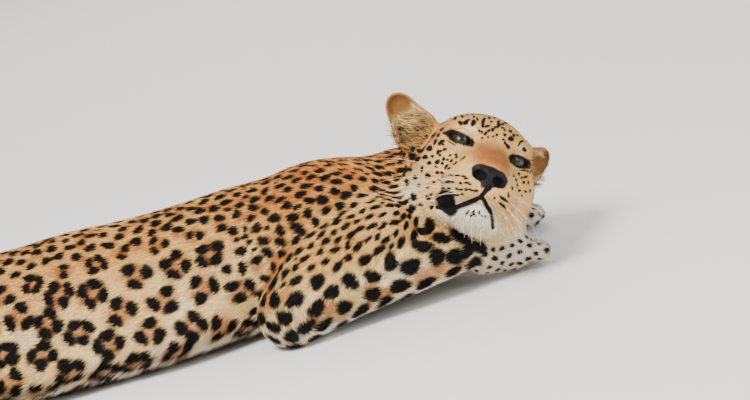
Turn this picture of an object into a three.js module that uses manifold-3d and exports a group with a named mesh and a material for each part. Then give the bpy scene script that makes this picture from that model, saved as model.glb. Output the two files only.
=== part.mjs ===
// A leopard lying at rest, life size, in millimetres, +Z up. It lies on its chest and belly
// with its head, at the +X end, laid down on its folded forelegs, its right flank towards -Y
// and its tail swept round on the floor behind. The surface is the outline of the coat. Every
// node follows one soft body: a list of rounded masses, each blended into those before it.
import * as THREE from "three";
import { mergeVertices } from "three/addons/utils/BufferGeometryUtils.js";
import Module from "manifold-3d";

const GAP = 0.5; // clearance between two neighbouring nodes
const CENTRE_X = -293.487; // middle of the whole animal, moved to the origin at the end
const CENTRE_Y = 139.402;
const FLOOR = 400; // depth of the block that trims the resting flats

const TRUNK = { width: 108, depth: 100, centre: 100 };
const LEG = { elbow: 44, wrist: 37, palm: 33, toe: 13 };
const EYE = { radius: 17, apart: 39.4, back: -14.7, splay: 19, slant: 0.2, lid: 3.2 };
const OPENING = { deep: 30, long: 19.5, high: 9.6, shut: 5 }; // the almond between the lids
const LIP = { line: 2.4, philtrum: 1.8 }; // radii of the grooves of the mouth
const EAR = { wide: 33, thick: 20, wall: 4.5, shift: 8 };
const TAIL = { root: 42, tip: 19 };

// The head has its own frame: its origin lies midway between the eyes, x runs forwards to the
// nose, y to the animal's left and z up through the forehead. The head is rolled onto its left
// cheek and faces out over the right flank.
const BETWEEN_EYES = new THREE.Vector3(343.8, -62, 182.4);
const FORWARD = new THREE.Vector3(0.2331, -0.9133, 0.3339).normalize();
const LEFT = new THREE.Vector3(0.796, -0.018, -0.605).normalize();
LEFT.addScaledVector(FORWARD, -LEFT.dot(FORWARD)).normalize();
const UP = new THREE.Vector3().crossVectors(FORWARD, LEFT);

const v = (x, y, z) => new THREE.Vector3(x, y, z);
const head = (x, y, z) =>
  BETWEEN_EYES.clone()
    .addScaledVector(FORWARD, x)
    .addScaledVector(LEFT, y)
    .addScaledVector(UP, z);
const WORLD_AXES = [v(1, 0, 0), v(0, 1, 0), v(0, 0, 1)];
const HEAD_AXES = [FORWARD, LEFT, UP];

// Axes with x along a direction, y level and z as near to upright as it can be.
function axesAlong(direction) {
  const x = direction.clone().normalize();
  const y = new THREE.Vector3().crossVectors(v(0, 0, 1), x).normalize();
  return [x, y, new THREE.Vector3().crossVectors(x, y)];
}

// The two kinds of mass: an ellipsoid with its own axes, and a limb that tapers between two
// balls. Each carries the width over which it melts into the masses before it.
function egg(c, r, blend, axes = WORLD_AXES) {
  const extent = [0, 1, 2].map((i) =>
    Math.hypot(...axes.map((a, j) => a.getComponent(i) * r[j])),
  );
  const box = new THREE.Box3(
    v(...extent.map((e, i) => c.getComponent(i) - e)),
    v(...extent.map((e, i) => c.getComponent(i) + e)),
  ).expandByScalar(blend + 12);
  const q = new THREE.Vector3();
  const distance = (p) => {
    q.subVectors(p, c);
    let near = 0;
    let slope = 0;
    for (let i = 0; i < 3; i++) {
      const t = q.dot(axes[i]) / r[i];
      near += t * t;
      slope += (t / r[i]) ** 2;
    }
    if (slope < 1e-9) return -Math.min(...r);
    near = Math.sqrt(near);
    return (near * (near - 1)) / (Math.sqrt(slope) + 1e-9);
  };
  return { distance, blend, box };
}

function limb(a, b, ra, rb, blend) {
  const box = new THREE.Box3(a.clone(), a.clone()).expandByScalar(ra);
  box.union(new THREE.Box3(b.clone(), b.clone()).expandByScalar(rb)).expandByScalar(blend + 12);
  const ab = new THREE.Vector3().subVectors(b, a);
  const length2 = ab.lengthSq();
  const dr = ra - rb;
  const side2 = length2 - dr * dr;
  const q = new THREE.Vector3();
  const distance = (p) => {
    q.subVectors(p, a);
    const y = q.dot(ab);
    const z = y - length2;
    const x2 = Math.max(0, q.lengthSq() * length2 * length2 - y * y * length2);
    const limit = Math.sign(dr) * dr * dr * x2;
    if (Math.sign(z) * side2 * z * z * length2 > limit)
      return Math.sqrt(x2 + z * z * length2) / length2 - rb;
    if (Math.sign(y) * side2 * y * y * length2 < limit)
      return Math.sqrt(x2 + y * y * length2) / length2 - ra;
    return (Math.sqrt((x2 * side2) / length2) + y * dr) / length2 - ra;
  };
  return { distance, blend, box };
}

// The signed distance to a list of masses melted together, below zero inside.
function body(masses) {
  return (p) => {
    let d = 80;
    for (const m of masses) {
      if (!m.box.containsPoint(p)) continue;
      const other = m.distance(p);
      const h = Math.max(m.blend - Math.abs(d - other), 0) / m.blend;
      d = Math.min(d, other) - h * h * m.blend * 0.25;
    }
    return d;
  };
}

// Trunk, from the rump to the front of the chest, and the neck up to the skull.
const trunk = [
  egg(v(-20, 0, TRUNK.centre), [185, TRUNK.width + 4, TRUNK.depth], 30),
  egg(v(-270, 0, TRUNK.centre - 3), [190, TRUNK.width + 2, TRUNK.depth - 1], 60),
  egg(v(-490, 0, TRUNK.centre + 6), [140, TRUNK.width, TRUNK.depth - 2], 60),
  egg(v(100, 0, TRUNK.centre + 6), [105, TRUNK.width - 24, TRUNK.depth - 12], 50),
  limb(v(-500, 0, 148), v(40, 0, 152), 44, 40, 55),
  egg(v(-330, 0, 52), [190, TRUNK.width + 32, 54], 40),
  egg(v(-170, 0, 52), [150, TRUNK.width + 24, 52], 40),
];
for (const side of [1, -1])
  trunk.push(egg(v(75, side * 64, 120), [92, 46, 72], 40, axesAlong(v(1, -side * 0.14, 0))));
const NAPE = v(225, 40, 114);
trunk.push(limb(v(110, 0, 120), NAPE, 82, 68, 50));
trunk.push(limb(NAPE, head(-92, 0, -42), 70, 60, 40));
trunk.push(limb(v(180, -44, 96), v(262, -52, 112), 42, 40, 30));

// A paw: the palm, and four toes side by side, the middle two reaching furthest.
function paw(masses, heel, tip, radius) {
  const along = new THREE.Vector3().subVectors(tip, heel);
  const [x, y] = axesAlong(along);
  masses.push(limb(heel, heel.clone().addScaledVector(along, 0.45), radius, radius - 3, 16));
  for (const k of [-1.5, -0.5, 0.5, 1.5]) {
    const knuckle = heel.clone().addScaledVector(along, 0.5).addScaledVector(y, k * 14);
    const end = tip.clone().addScaledVector(y, k * 18);
    end.addScaledVector(x, -LEG.toe - (Math.abs(k) - 0.5) * 9);
    masses.push(limb(knuckle, end, LEG.toe + 3, LEG.toe, 9));
  }
}

// Forelegs: folded at the elbow. The right one lies under the chin, its wrist a little raised
// and the paw let down beneath the cheek. The left one is stretched out along the other side.
const FORE = {
  right: {
    shoulder: v(165, -90, 112),
    elbow: v(14, -134, 45),
    wrist: v(256, -97, 66),
    heel: v(300, -78, 44),
    tip: v(388, -44, 17),
  },
  left: {
    shoulder: v(165, 90, 112),
    elbow: v(62, 138, 44),
    wrist: v(285, 134, 31),
    heel: v(315, 135, 29),
    tip: v(404, 141, 17),
  },
};
const foreleg = {};
const forepaw = {};
for (const [name, f] of Object.entries(FORE)) {
  const middle = f.shoulder.clone().add(f.elbow).multiplyScalar(0.5).add(v(-6, 0, 12));
  foreleg[name] = [
    limb(f.shoulder, f.elbow, 52, LEG.elbow, 25),
    egg(middle, [86, 42, 58], 30, axesAlong(v(0, 0, 0).subVectors(f.shoulder, f.elbow))),
    limb(f.elbow, f.wrist, LEG.elbow, LEG.wrist, 20),
  ];
  forepaw[name] = [];
  paw(forepaw[name], f.heel, f.tip, LEG.palm);
}

// Hind legs: the knee is drawn up beside the belly and the foot lies flat under the thigh.
const HIND = {};
const hindleg = {};
const hindpaw = {};
for (const [name, side] of [["right", -1], ["left", 1]]) {
  const hip = v(-530, side * 62, 122);
  const knee = v(-455, side * 116, 90);
  const hock = v(-608, side * 124, 36);
  const heel = v(-495, side * 142, 28);
  const tip = v(-408, side * 146, 16);
  HIND[name] = { hip, knee, hock, heel, tip };
  hindleg[name] = [limb(hip, knee, 82, 52, 40), limb(knee, hock, 44, 28, 25)];
  hindpaw[name] = [limb(hock, heel, 27, 27, 15)];
  paw(hindpaw[name], heel, tip, LEG.palm - 3);
}

// Tail: from the rump down to the floor, then round the left hind foot.
const TAIL_LINE = new THREE.CatmullRomCurve3([
  v(-590, 0, 118),
  v(-668, 0, 66),
  v(-740, 8, 32),
  v(-830, 40, 24),
  v(-915, 104, 23),
  v(-975, 190, 23),
  v(-985, 290, 22),
  v(-940, 380, 22),
  v(-855, 430, 20),
  v(-765, 440, 18),
]);
const TAIL_STEPS = 24;
const tail = [];
function tailRadius(t) {
  return THREE.MathUtils.lerp(TAIL.root, TAIL.tip, Math.min(1, t * 0.4 + 0.6 * t ** 0.3));
}
for (let i = 0; i < TAIL_STEPS; i++) {
  const t = i / TAIL_STEPS;
  const next = (i + 1) / TAIL_STEPS;
  const ends = [TAIL_LINE.getPointAt(t), TAIL_LINE.getPointAt(next)];
  tail.push(limb(...ends, tailRadius(t), tailRadius(next), 20));
}

// Head: the broad skull with its brow and cheeks, the bridge of the nose, the whisker pads,
// the lower jaw and the chin, with a rim of lid over each eye.
const skull = [
  egg(head(-66, 0, 0), [76, 75, 60], 30, HEAD_AXES),
  egg(head(-18, 0, 6), [30, 59, 38], 22, HEAD_AXES),
];
for (const side of [-1, 1]) {
  skull.push(egg(head(-30, side * 55, -38), [46, 31, 36], 25, HEAD_AXES));
  skull.push(egg(head(-52, side * 55, -76), [45, 33, 42], 30, HEAD_AXES));
  skull.push(egg(head(10, side * 30, -44), [40, 21, 24], 22, HEAD_AXES));
  skull.push(limb(head(2, side * 17, 18), head(-16, side * 51, 21), 10, 9, 14));
  skull.push(limb(head(-10, side * 9, 2), head(58, side * 9, -40), 19, 17, 12));
}
skull.push(egg(head(30, 0, -66), [46, 40, 32], 16, HEAD_AXES));
for (const side of [-1, 1]) {
  skull.push(egg(head(42, side * 27, -70), [38, 28, 26], 20, HEAD_AXES));
  skull.push(limb(head(-40, side * 42, -92), head(28, side * 14 + 4, -108), 30, 18, 22));
}
skull.push(egg(head(38, 4, -109), [33, 31, 19], 12, HEAD_AXES));
const eyes = {};
const splay = THREE.MathUtils.degToRad(EYE.splay);
for (const [name, side] of [["right", -1], ["left", 1]]) {
  const centre = head(EYE.back, side * EYE.apart, -0.5);
  const out = FORWARD.clone().multiplyScalar(Math.cos(splay));
  out.addScaledVector(LEFT, side * Math.sin(splay));
  const across = new THREE.Vector3().crossVectors(UP, out);
  across.addScaledVector(UP, side * EYE.slant).normalize();
  eyes[name] = { centre, out, across, up: new THREE.Vector3().crossVectors(out, across) };
  const lids = EYE.radius + EYE.lid;
  skull.push(egg(centre, [lids, lids, lids - 0.6], 9, HEAD_AXES));
}
const nosePad = [];
for (const side of [-1, 1])
  nosePad.push(egg(head(69, side * 13, -54), [16, 14, 13], 8, HEAD_AXES));
nosePad.push(limb(head(71, 0, -54), head(74, 0, -72), 14, 7, 8));

// Ears: each a rounded cup, wide at its foot and narrower at its tip. The right one faces
// forwards and the left one is laid back.
const EARS = {
  right: { root: head(-84, -89, 0), end: head(-92.5, -145, 43.5), opens: v(1, -0.3, -0.1) },
  left: { root: head(-80, 66, 6), end: head(-118, 103, 50), opens: v(0.55, 0.75, -0.1) },
};
const ear = {};
for (const [name, { root, end, opens }] of Object.entries(EARS)) {
  const t = new THREE.Vector3().subVectors(end, root).normalize();
  const n = new THREE.Vector3();
  HEAD_AXES.forEach((axis, i) => n.addScaledVector(axis, opens.getComponent(i)));
  n.addScaledVector(t, -n.dot(t)).normalize();
  const axes = [n, new THREE.Vector3().crossVectors(t, n), t];
  const foot = root.clone().addScaledVector(t, 8);
  const tip = end.clone().addScaledVector(t, -28);
  const cupFoot = foot.clone().addScaledVector(n, EAR.shift);
  const cupTip = tip.clone().addScaledVector(n, EAR.shift);
  ear[name] = {
    foot,
    tip,
    outer: [
      egg(foot, [EAR.thick, EAR.wide, 30], 12, axes),
      egg(tip, [13, EAR.wide - 11, 28], 20, axes),
    ],
    inner: [
      egg(cupFoot, [EAR.thick + 2, EAR.wide - EAR.wall, 25], 12, axes),
      egg(cupTip, [15, EAR.wide - 11 - EAR.wall, 24], 20, axes),
    ],
  };
}

const wasm = await Module();
wasm.setup();

// A closed surface as a solid, and back.
function solid(geometry) {
  const g = geometry.clone();
  for (const name of ["normal", "uv"]) if (g.attributes[name]) g.deleteAttribute(name);
  const merged = mergeVertices(g, 1e-3);
  const triVerts = new Uint32Array(merged.index.array);
  const vertProperties = new Float32Array(merged.attributes.position.array);
  const made = new wasm.Manifold(new wasm.Mesh({ numProp: 3, vertProperties, triVerts }));
  if (made.volume() > 0) return made;
  for (let i = 0; i < triVerts.length; i += 3)
    [triVerts[i + 1], triVerts[i + 2]] = [triVerts[i + 2], triVerts[i + 1]];
  return new wasm.Manifold(new wasm.Mesh({ numProp: 3, vertProperties, triVerts }));
}
function geometryOf(made) {
  const mesh = made.getMesh();
  const g = new THREE.BufferGeometry();
  g.setAttribute("position", new THREE.BufferAttribute(new Float32Array(mesh.vertProperties), 3));
  g.setIndex(new THREE.BufferAttribute(new Uint32Array(mesh.triVerts), 1));
  return g;
}
function largest(made) {
  return made.decompose().reduce((a, b) => (b.volume() > a.volume() ? b : a));
}

// The distance from a point along a direction to the surface of the body.
function cast(surface, from, direction, reach, level) {
  const p = new THREE.Vector3();
  const at = (s) => surface(p.copy(from).addScaledVector(direction, s)) - level;
  let s = 0.5;
  let last = 0;
  let d = at(s);
  while (d < 0 && s < reach) {
    last = s;
    s += Math.max(0.8, -d * 0.6);
    d = at(s);
  }
  if (s >= reach) return reach;
  for (let i = 0; i < 18; i++) {
    const middle = (last + s) / 2;
    if (at(middle) < 0) last = middle;
    else s = middle;
  }
  return s;
}

// Wraps a ball round a line inside the body and lets each of its points out to the surface.
// An end is round, with rows that fan out from the last point, or flat, cut square. At a level
// above zero the whole wrap stands that far off the surface, its flat ends too.
function wrap(surface, points, shape) {
  const { rows, sides, reach = 400, fan = 6, level = 0, from = 0, to = 1 } = shape;
  const { start = fan, end = fan } = shape;
  const line = new THREE.CatmullRomCurve3(points, false, "centripetal");
  const steps = 120;
  const frames = line.computeFrenetFrames(steps, false);
  const stations = [];
  const add = (u, tilt, pole) => stations.push({ u, tilt, pole });
  if (start) for (let i = 0; i < start; i++) add(from, (-Math.PI / 2) * (1 - i / start), i === 0);
  else add(from, 0, "flat");
  for (let i = 0; i <= rows; i++) add(from + ((to - from) * i) / rows, 0, false);
  if (end) for (let i = 1; i <= end; i++) add(to, ((Math.PI / 2) * i) / end, i === end);
  else add(to, 0, "flat");
  const ball = new THREE.SphereGeometry(1, sides, stations.length - 1);
  ball.deleteAttribute("normal");
  ball.deleteAttribute("uv");
  const position = ball.attributes.position;
  const direction = new THREE.Vector3();
  stations.forEach(({ u, tilt, pole }, row) => {
    const f = Math.round(u * steps);
    const beyond = !start && row < 2 ? -level : !end && row > stations.length - 3 ? level : 0;
    const origin = line.getPointAt(u).addScaledVector(frames.tangents[f], beyond);
    for (let j = 0; j <= sides; j++) {
      const angle = (2 * Math.PI * (j % sides)) / sides;
      direction.set(0, 0, 0);
      direction.addScaledVector(frames.normals[f], Math.cos(angle) * Math.cos(tilt));
      direction.addScaledVector(frames.binormals[f], Math.sin(angle) * Math.cos(tilt));
      direction.addScaledVector(frames.tangents[f], Math.sin(tilt));
      if (pole === true) direction.copy(frames.tangents[f]).multiplyScalar(Math.sign(tilt));
      const s = pole === "flat" ? 0 : cast(surface, origin, direction, reach, level);
      const k = row * (sides + 1) + j;
      position.setXYZ(k, ...direction.multiplyScalar(s).add(origin).toArray());
    }
  });
  return solid(ball);
}

const floorBox = new THREE.BoxGeometry(4000, 4000, FLOOR);
floorBox.translate(0, 0, -FLOOR / 2);
const floor = solid(floorBox);

const COAT = { color: 0xc99a5b, roughness: 0.9, metalness: 0 };
const PALE = { color: 0xdcc69a, roughness: 0.9, metalness: 0 };
const RUST = { color: 0xb47a45, roughness: 0.9, metalness: 0 };
const BLACK = { color: 0x1d1a1b, roughness: 0.4, metalness: 0 };
const OLIVE = { color: 0x4d5630, roughness: 0.1, metalness: 0 };

const group = new THREE.Group();
const placed = [];
// Makes a node from one or more wraps, cut back from all that was placed before it.
function place(name, look, pieces, cuts = []) {
  const joined = (level) =>
    pieces.map((make) => make(level)).reduce((a, b) => a.add(b));
  let made = joined(0);
  for (const cut of cuts) made = made.subtract(cut);
  for (const other of placed) made = made.subtract(other);
  made = largest(made.subtract(floor));
  const geometry = geometryOf(made);
  geometry.translate(-CENTRE_X, -CENTRE_Y, 0);
  const mesh = new THREE.Mesh(geometry, new THREE.MeshStandardMaterial(look));
  mesh.name = name;
  group.add(mesh);
  placed.push(joined(GAP));
  return made;
}

// Eyeballs, set in the head with their clearance all round.
for (const name of ["right", "left"]) {
  const ball = (level) => {
    const g = new THREE.SphereGeometry(EYE.radius + level, 16, 10);
    g.translate(...eyes[name].centre.toArray());
    return solid(g);
  };
  place(`eye_${name}`, OLIVE, [ball]);
}

// The almond between the lids: what two flat ellipsoids, one moved up and one down, share.
function almond(eye) {
  const halves = [1, -1].map((s) => {
    const g = new THREE.SphereGeometry(1, 20, 10);
    g.scale(OPENING.deep, OPENING.long, OPENING.high);
    g.applyMatrix4(new THREE.Matrix4().makeBasis(eye.out, eye.across, eye.up));
    const c = eye.centre.clone().addScaledVector(eye.out, EYE.radius);
    g.translate(...c.addScaledVector(eye.up, s * OPENING.shut).toArray());
    return solid(g);
  });
  return halves[0].intersect(halves[1]);
}

// The nose pad, with a nostril sunk in each side.
const noseLine = [head(58, 0, -57), head(74, 0, -57)];
const nostrils = [1, -1].map((side) => {
  const g = new THREE.SphereGeometry(1, 10, 8);
  g.scale(11, 7.5, 5);
  g.applyMatrix4(new THREE.Matrix4().makeBasis(...HEAD_AXES));
  g.translate(...head(84, side * 15, -58).toArray());
  return solid(g);
});
place("nose_pad", BLACK, [
  (level) => wrap(body(nosePad), noseLine, { rows: 3, sides: 22, fan: 4, level }),
], nostrils);

// The line of the mouth: a groove along the lips, from one corner to the other, and the short
// groove from the nose down to it.
const skullSurface = body(skull);
function groove(targets, radius, steps) {
  const inner = head(8, 2, -88);
  const points = targets.map(([x, y, z]) => {
    const aim = head(x, y, z).sub(inner).normalize();
    return inner.clone().addScaledVector(aim, cast(skullSurface, inner, aim, 200, 0));
  });
  const profile = new THREE.Shape().absarc(0, 0, radius, 0, 2 * Math.PI, false);
  const extrudePath = new THREE.CatmullRomCurve3(points);
  return solid(new THREE.ExtrudeGeometry(profile, { steps, extrudePath, curveSegments: 3 }));
}
const lips = [
  [4, -48, -108],
  [20, -38, -109],
  [36, -31, -110],
  [51, -26, -106],
  [61, -17, -99],
  [66, -8, -91],
  [72, 0, -84],
  [71, 6, -86],
  [66, 14, -92],
  [63, 21, -96],
  [60, 27, -105],
  [50, 33, -111],
  [30, 41, -112],
];
const mouth = groove(lips, LIP.line, 18);
const philtrum = groove([[81, 1, -75], [76, 0, -80], [72, 0, -84]], LIP.philtrum, 2);
const headLine = [head(-62, 0, -26), head(-12, 0, -46), head(38, 0, -66)];
place("head", COAT, [
  (level) => wrap(skullSurface, headLine, { rows: 11, sides: 36, fan: 7, level }),
], [almond(eyes.right), almond(eyes.left), mouth, philtrum]);

for (const name of ["right", "left"]) {
  const { foot, tip, outer, inner } = ear[name];
  const cup = wrap(body(inner), [foot, tip], { rows: 3, sides: 12, fan: 3 });
  place(`ear_${name}`, RUST, [
    (level) => wrap(body(outer), [foot, tip], { rows: 4, sides: 16, fan: 3, level }),
  ], [cup]);
}

const spine = [
  v(-560, 0, 106),
  v(-350, 0, 102),
  v(-120, 0, 102),
  v(90, 4, 108),
  v(200, 26, 116),
  head(-96, 0, -38),
];
const trunkSurface = body(trunk);
const NECK_AT = 0.8;
const torsoShape = { rows: 18, sides: 28, fan: 5, end: 0, to: NECK_AT };
const neckShape = { rows: 6, sides: 28, fan: 3, start: 0, from: NECK_AT };
place("torso", COAT, [(level) => wrap(trunkSurface, spine, { ...torsoShape, level })]);
place("neck", COAT, [(level) => wrap(trunkSurface, spine, { ...neckShape, level })]);

for (const name of ["left", "right"]) {
  const f = FORE[name];
  const surface = body([...foreleg[name], ...forepaw[name]]);
  const arm = { rows: 4, sides: 12, fan: 2, reach: 120 };
  const hand = { rows: 5, sides: 20, fan: 5, start: 0, reach: 70 };
  const forward = f.wrist.clone().sub(f.elbow).setLength(12).add(f.wrist);
  const handLine = [f.wrist, forward, f.heel, f.tip.clone().lerp(f.heel, 0.35)];
  place(`foreleg_${name}`, COAT, [
    (level) => wrap(surface, [f.shoulder, f.elbow], { ...arm, level }),
    (level) => wrap(surface, [f.elbow, f.wrist], { ...arm, rows: 5, end: 0, level }),
  ]);
  place(`forepaw_${name}`, PALE, [(level) => wrap(surface, handLine, { ...hand, level })]);
}
for (const [name, { hip, knee, hock, heel, tip }] of Object.entries(HIND)) {
  const surface = body([...hindleg[name], ...hindpaw[name]]);
  const thigh = { rows: 3, sides: 15, fan: 3, reach: 130 };
  const shank = { rows: 4, sides: 12, fan: 2, reach: 90 };
  place(`hindleg_${name}`, COAT, [
    (level) => wrap(surface, [hip, knee], { ...thigh, level }),
    (level) => wrap(surface, [knee, hock], { ...shank, level }),
  ]);
  const footLine = [0.11, 0.5, 1].map((share) => hock.clone().lerp(heel, share));
  for (const point of footLine) point.setZ(26);
  footLine.push(tip.clone().lerp(heel, 0.35));
  place(`hindpaw_${name}`, PALE, [
    (level) => wrap(surface, footLine, { rows: 6, sides: 14, fan: 3, reach: 60, level }),
  ]);
}

// The tail in three lengths, parted square across.
const tailSurface = body(tail);
const lengths = {
  tail_base: { from: 0.04, to: 0.34, start: 3, end: 0 },
  tail_middle: { from: 0.34, to: 0.67, start: 0, end: 0 },
  tail_tip: { from: 0.67, to: 0.985, start: 0, end: 3 },
};
for (const [name, stretch] of Object.entries(lengths)) {
  const shape = { rows: 9, sides: 12, reach: 60, ...stretch };
  place(name, COAT, [(level) => wrap(tailSurface, TAIL_LINE.points, { ...shape, level })]);
}

export default group;
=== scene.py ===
# A leopard at rest, life size. One skin is worked out from the same rounded masses as the
# solids, a little inside them, marked with its rosettes, and covered with tufts of short fur.
import math
import bpy
import bmesh
import numpy as np
import openvdb
from mathutils import Matrix, Vector


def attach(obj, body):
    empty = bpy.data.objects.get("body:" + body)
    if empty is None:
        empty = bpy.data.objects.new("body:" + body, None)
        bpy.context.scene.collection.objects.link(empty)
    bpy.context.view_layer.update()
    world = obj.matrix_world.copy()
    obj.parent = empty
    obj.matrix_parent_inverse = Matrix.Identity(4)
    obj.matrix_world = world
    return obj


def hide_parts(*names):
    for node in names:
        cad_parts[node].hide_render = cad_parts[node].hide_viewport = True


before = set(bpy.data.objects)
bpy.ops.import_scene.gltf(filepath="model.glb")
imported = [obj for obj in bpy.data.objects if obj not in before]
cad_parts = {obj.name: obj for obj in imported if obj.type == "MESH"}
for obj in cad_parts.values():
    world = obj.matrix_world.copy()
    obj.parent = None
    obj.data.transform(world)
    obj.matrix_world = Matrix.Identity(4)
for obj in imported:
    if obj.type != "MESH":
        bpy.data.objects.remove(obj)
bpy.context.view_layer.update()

# View: the photograph looks at the right flank a little from above and is rolled. One named
# pixel of it is tied to the place where the right elbow meets the floor, and a pixel is 1.4 mm
# at the animal.
MM = 0.001
CENTRE = np.array([-293.487, 139.402, 0.0])
FRAME_WIDTH = 750
FRAME_HEIGHT = 400
PIXEL = 1.4
ELBOW_PIXEL = (290, 350)
ELBOW_REST = np.array([0.0, -150.0, 0.0])
CAMERA_TILT = math.radians(15)
CAMERA_ROLL = math.radians(15)
CAMERA_AWAY = 6000.0
toward = np.array([0.0, -math.cos(CAMERA_TILT), math.sin(CAMERA_TILT)])
above = np.array([0.0, math.sin(CAMERA_TILT), math.cos(CAMERA_TILT)])
along = np.array([1.0, 0.0, 0.0])
image_right = along * math.cos(CAMERA_ROLL) - above * math.sin(CAMERA_ROLL)
image_up = along * math.sin(CAMERA_ROLL) + above * math.cos(CAMERA_ROLL)
aim = ELBOW_REST - CENTRE
aim = aim + image_right * (FRAME_WIDTH / 2 - ELBOW_PIXEL[0]) * PIXEL
aim = aim + image_up * (ELBOW_PIXEL[1] - FRAME_HEIGHT / 2) * PIXEL
camera_data = bpy.data.cameras.new("camera")
SENSOR = 36
camera_data.sensor_width = SENSOR
camera_data.lens = SENSOR * CAMERA_AWAY / (FRAME_WIDTH * PIXEL)
camera_data.clip_end = 50


def linked(name, data):
    """A new object of the scene that shows the given mesh, lamp or camera."""
    made = bpy.data.objects.new(name, data)
    bpy.context.collection.objects.link(made)
    return made


camera = linked("camera", camera_data)
facing = Matrix([[image_right[i], image_up[i], toward[i]] for i in range(3)])
camera.matrix_world = Matrix.Translation(Vector((aim + toward * CAMERA_AWAY) * MM)) @ facing.to_4x4()
bpy.context.scene.camera = camera


LIT_PLACE = Vector((0.2, 0, 0.1))


def studio_light(name, place, size, power, colour):
    """A square area lamp, in metres and watts, that faces the animal."""
    lamp = bpy.data.lights.new(name, "AREA")
    lamp.energy = power
    lamp.size = size
    lamp.color = colour
    made = linked(name, lamp)
    made.location = place
    made.rotation_euler = (LIT_PLACE - made.location).to_track_quat("-Z", "Y").to_euler()


studio_light("key", (-0.9, -2.0, 2.8), 1.1, 215, (1.0, 0.97, 0.93))
studio_light("fill", (2.4, -1.6, 1.1), 1.6, 40, (0.98, 0.98, 1.0))
studio_light("back", (0.4, 2.4, 1.9), 1.6, 36, (1.0, 0.98, 0.95))
world = bpy.data.worlds.new("studio")
bpy.context.scene.world = world
world.use_nodes = True
backdrop = world.node_tree.nodes["Background"].inputs
backdrop["Color"].default_value = (0.93, 0.93, 0.92, 1)
backdrop["Strength"].default_value = 0.74


# Shader maths. A Wire is a node's output, and sums on wires make Math nodes. A Finish is one
# material with its nodes.
class Wire:
    def __init__(self, finish, socket):
        self.finish = finish
        self.socket = socket

    def maths(self, operation, *values):
        inputs = dict(enumerate(values))
        return self.finish.node("ShaderNodeMath", {"operation": operation}, inputs)

    def __add__(self, other):
        return self.maths("ADD", self, other)

    def __radd__(self, other):
        return self.maths("ADD", other, self)

    def __sub__(self, other):
        return self.maths("SUBTRACT", self, other)

    def __rsub__(self, other):
        return self.maths("SUBTRACT", other, self)

    def __mul__(self, other):
        return self.maths("MULTIPLY", self, other)

    def __rmul__(self, other):
        return self.maths("MULTIPLY", other, self)


class Finish:
    def __init__(self, name):
        self.material = bpy.data.materials.new(name)
        self.material.use_nodes = True
        self.tree = self.material.node_tree
        self.shader = self.tree.nodes["Principled BSDF"]

    def node(self, kind, settings, inputs, output=0):
        made = self.tree.nodes.new(kind)
        for key, value in settings.items():
            if key == "stops":
                self.set_stops(made.color_ramp, value)
            else:
                setattr(made, key, value)
        for key, value in inputs.items():
            self.feed(made.inputs[key], value)
        return Wire(self, made.outputs[output])

    def set_stops(self, ramp, stops):
        while len(ramp.elements) < len(stops):
            ramp.elements.new(0.5)
        for element, (place, colour) in zip(ramp.elements, stops):
            element.position = place
            element.color = colour

    def feed(self, socket, value):
        if isinstance(value, Wire):
            self.tree.links.new(value.socket, socket)
        else:
            socket.default_value = value

    def mix(self, factor, a, b):
        inputs = {0: factor, 6: a, 7: b}
        return self.node("ShaderNodeMix", {"data_type": "RGBA"}, inputs, 2)

    def mask(self, name, output=0):
        return self.node("ShaderNodeAttribute", {"attribute_name": name}, {}, output)

    def noise(self, scale, detail=2.0, place=None):
        inputs = {"Scale": scale, "Detail": detail}
        if place is not None:
            inputs["Vector"] = place
        return self.node("ShaderNodeTexNoise", {}, inputs)

    def set(self, **sockets):
        for name, value in sockets.items():
            self.feed(self.shader.inputs[name.replace("_", " ")], value)

    def bump(self, height, strength, distance):
        inputs = {"Height": height, "Strength": strength, "Distance": distance}
        self.set(Normal=self.node("ShaderNodeBump", {}, inputs))


# Floor: a plain pale studio floor of matt board that carries on past the view.
floor_finish = Finish("floor")
floor_grain = floor_finish.noise(9.0)
floor_finish.set(
    Base_Color=floor_finish.mix(floor_grain, (0.80, 0.80, 0.78, 1), (0.84, 0.84, 0.82, 1)),
    Roughness=0.8,
)
floor_mesh = bpy.data.meshes.new("floor")
FLOOR_HALF = 14.0
floor_corners = [(x * FLOOR_HALF, y * FLOOR_HALF, 0) for x, y in ((-1, -1), (1, -1), (1, 1), (-1, 1))]
floor_mesh.from_pydata(floor_corners, [], [(0, 1, 2, 3)])
floor_mesh.materials.append(floor_finish.material)
floor = linked("floor", floor_mesh)

# Form: the animal's flesh as rounded masses, in millimetres, melted into one another. These
# are the masses of the solids, and the skin lies inside them by the coat's depth.
FORWARD = np.array([0.2331, -0.9133, 0.3339])
FORWARD = FORWARD / np.linalg.norm(FORWARD)
LEFT = np.array([0.796, -0.018, -0.605])
LEFT = LEFT - FORWARD * LEFT.dot(FORWARD)
LEFT = LEFT / np.linalg.norm(LEFT)
UP = np.cross(FORWARD, LEFT)
HEAD_AXES = np.stack([FORWARD, LEFT, UP])
BETWEEN_EYES = np.array([343.8, -62.0, 182.4])
WORLD_AXES = np.eye(3)


def head(x, y, z):
    return BETWEEN_EYES + np.array([x, y, z]) @ HEAD_AXES


def unit(v):
    return v / np.linalg.norm(v)


def axes_along(direction):
    x = unit(np.asarray(direction, float))
    y = unit(np.cross((0, 0, 1), x))
    return np.stack([x, y, np.cross(x, y)])


MARGIN = 12  # how far past a mass's blend its distance is still worked out


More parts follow.
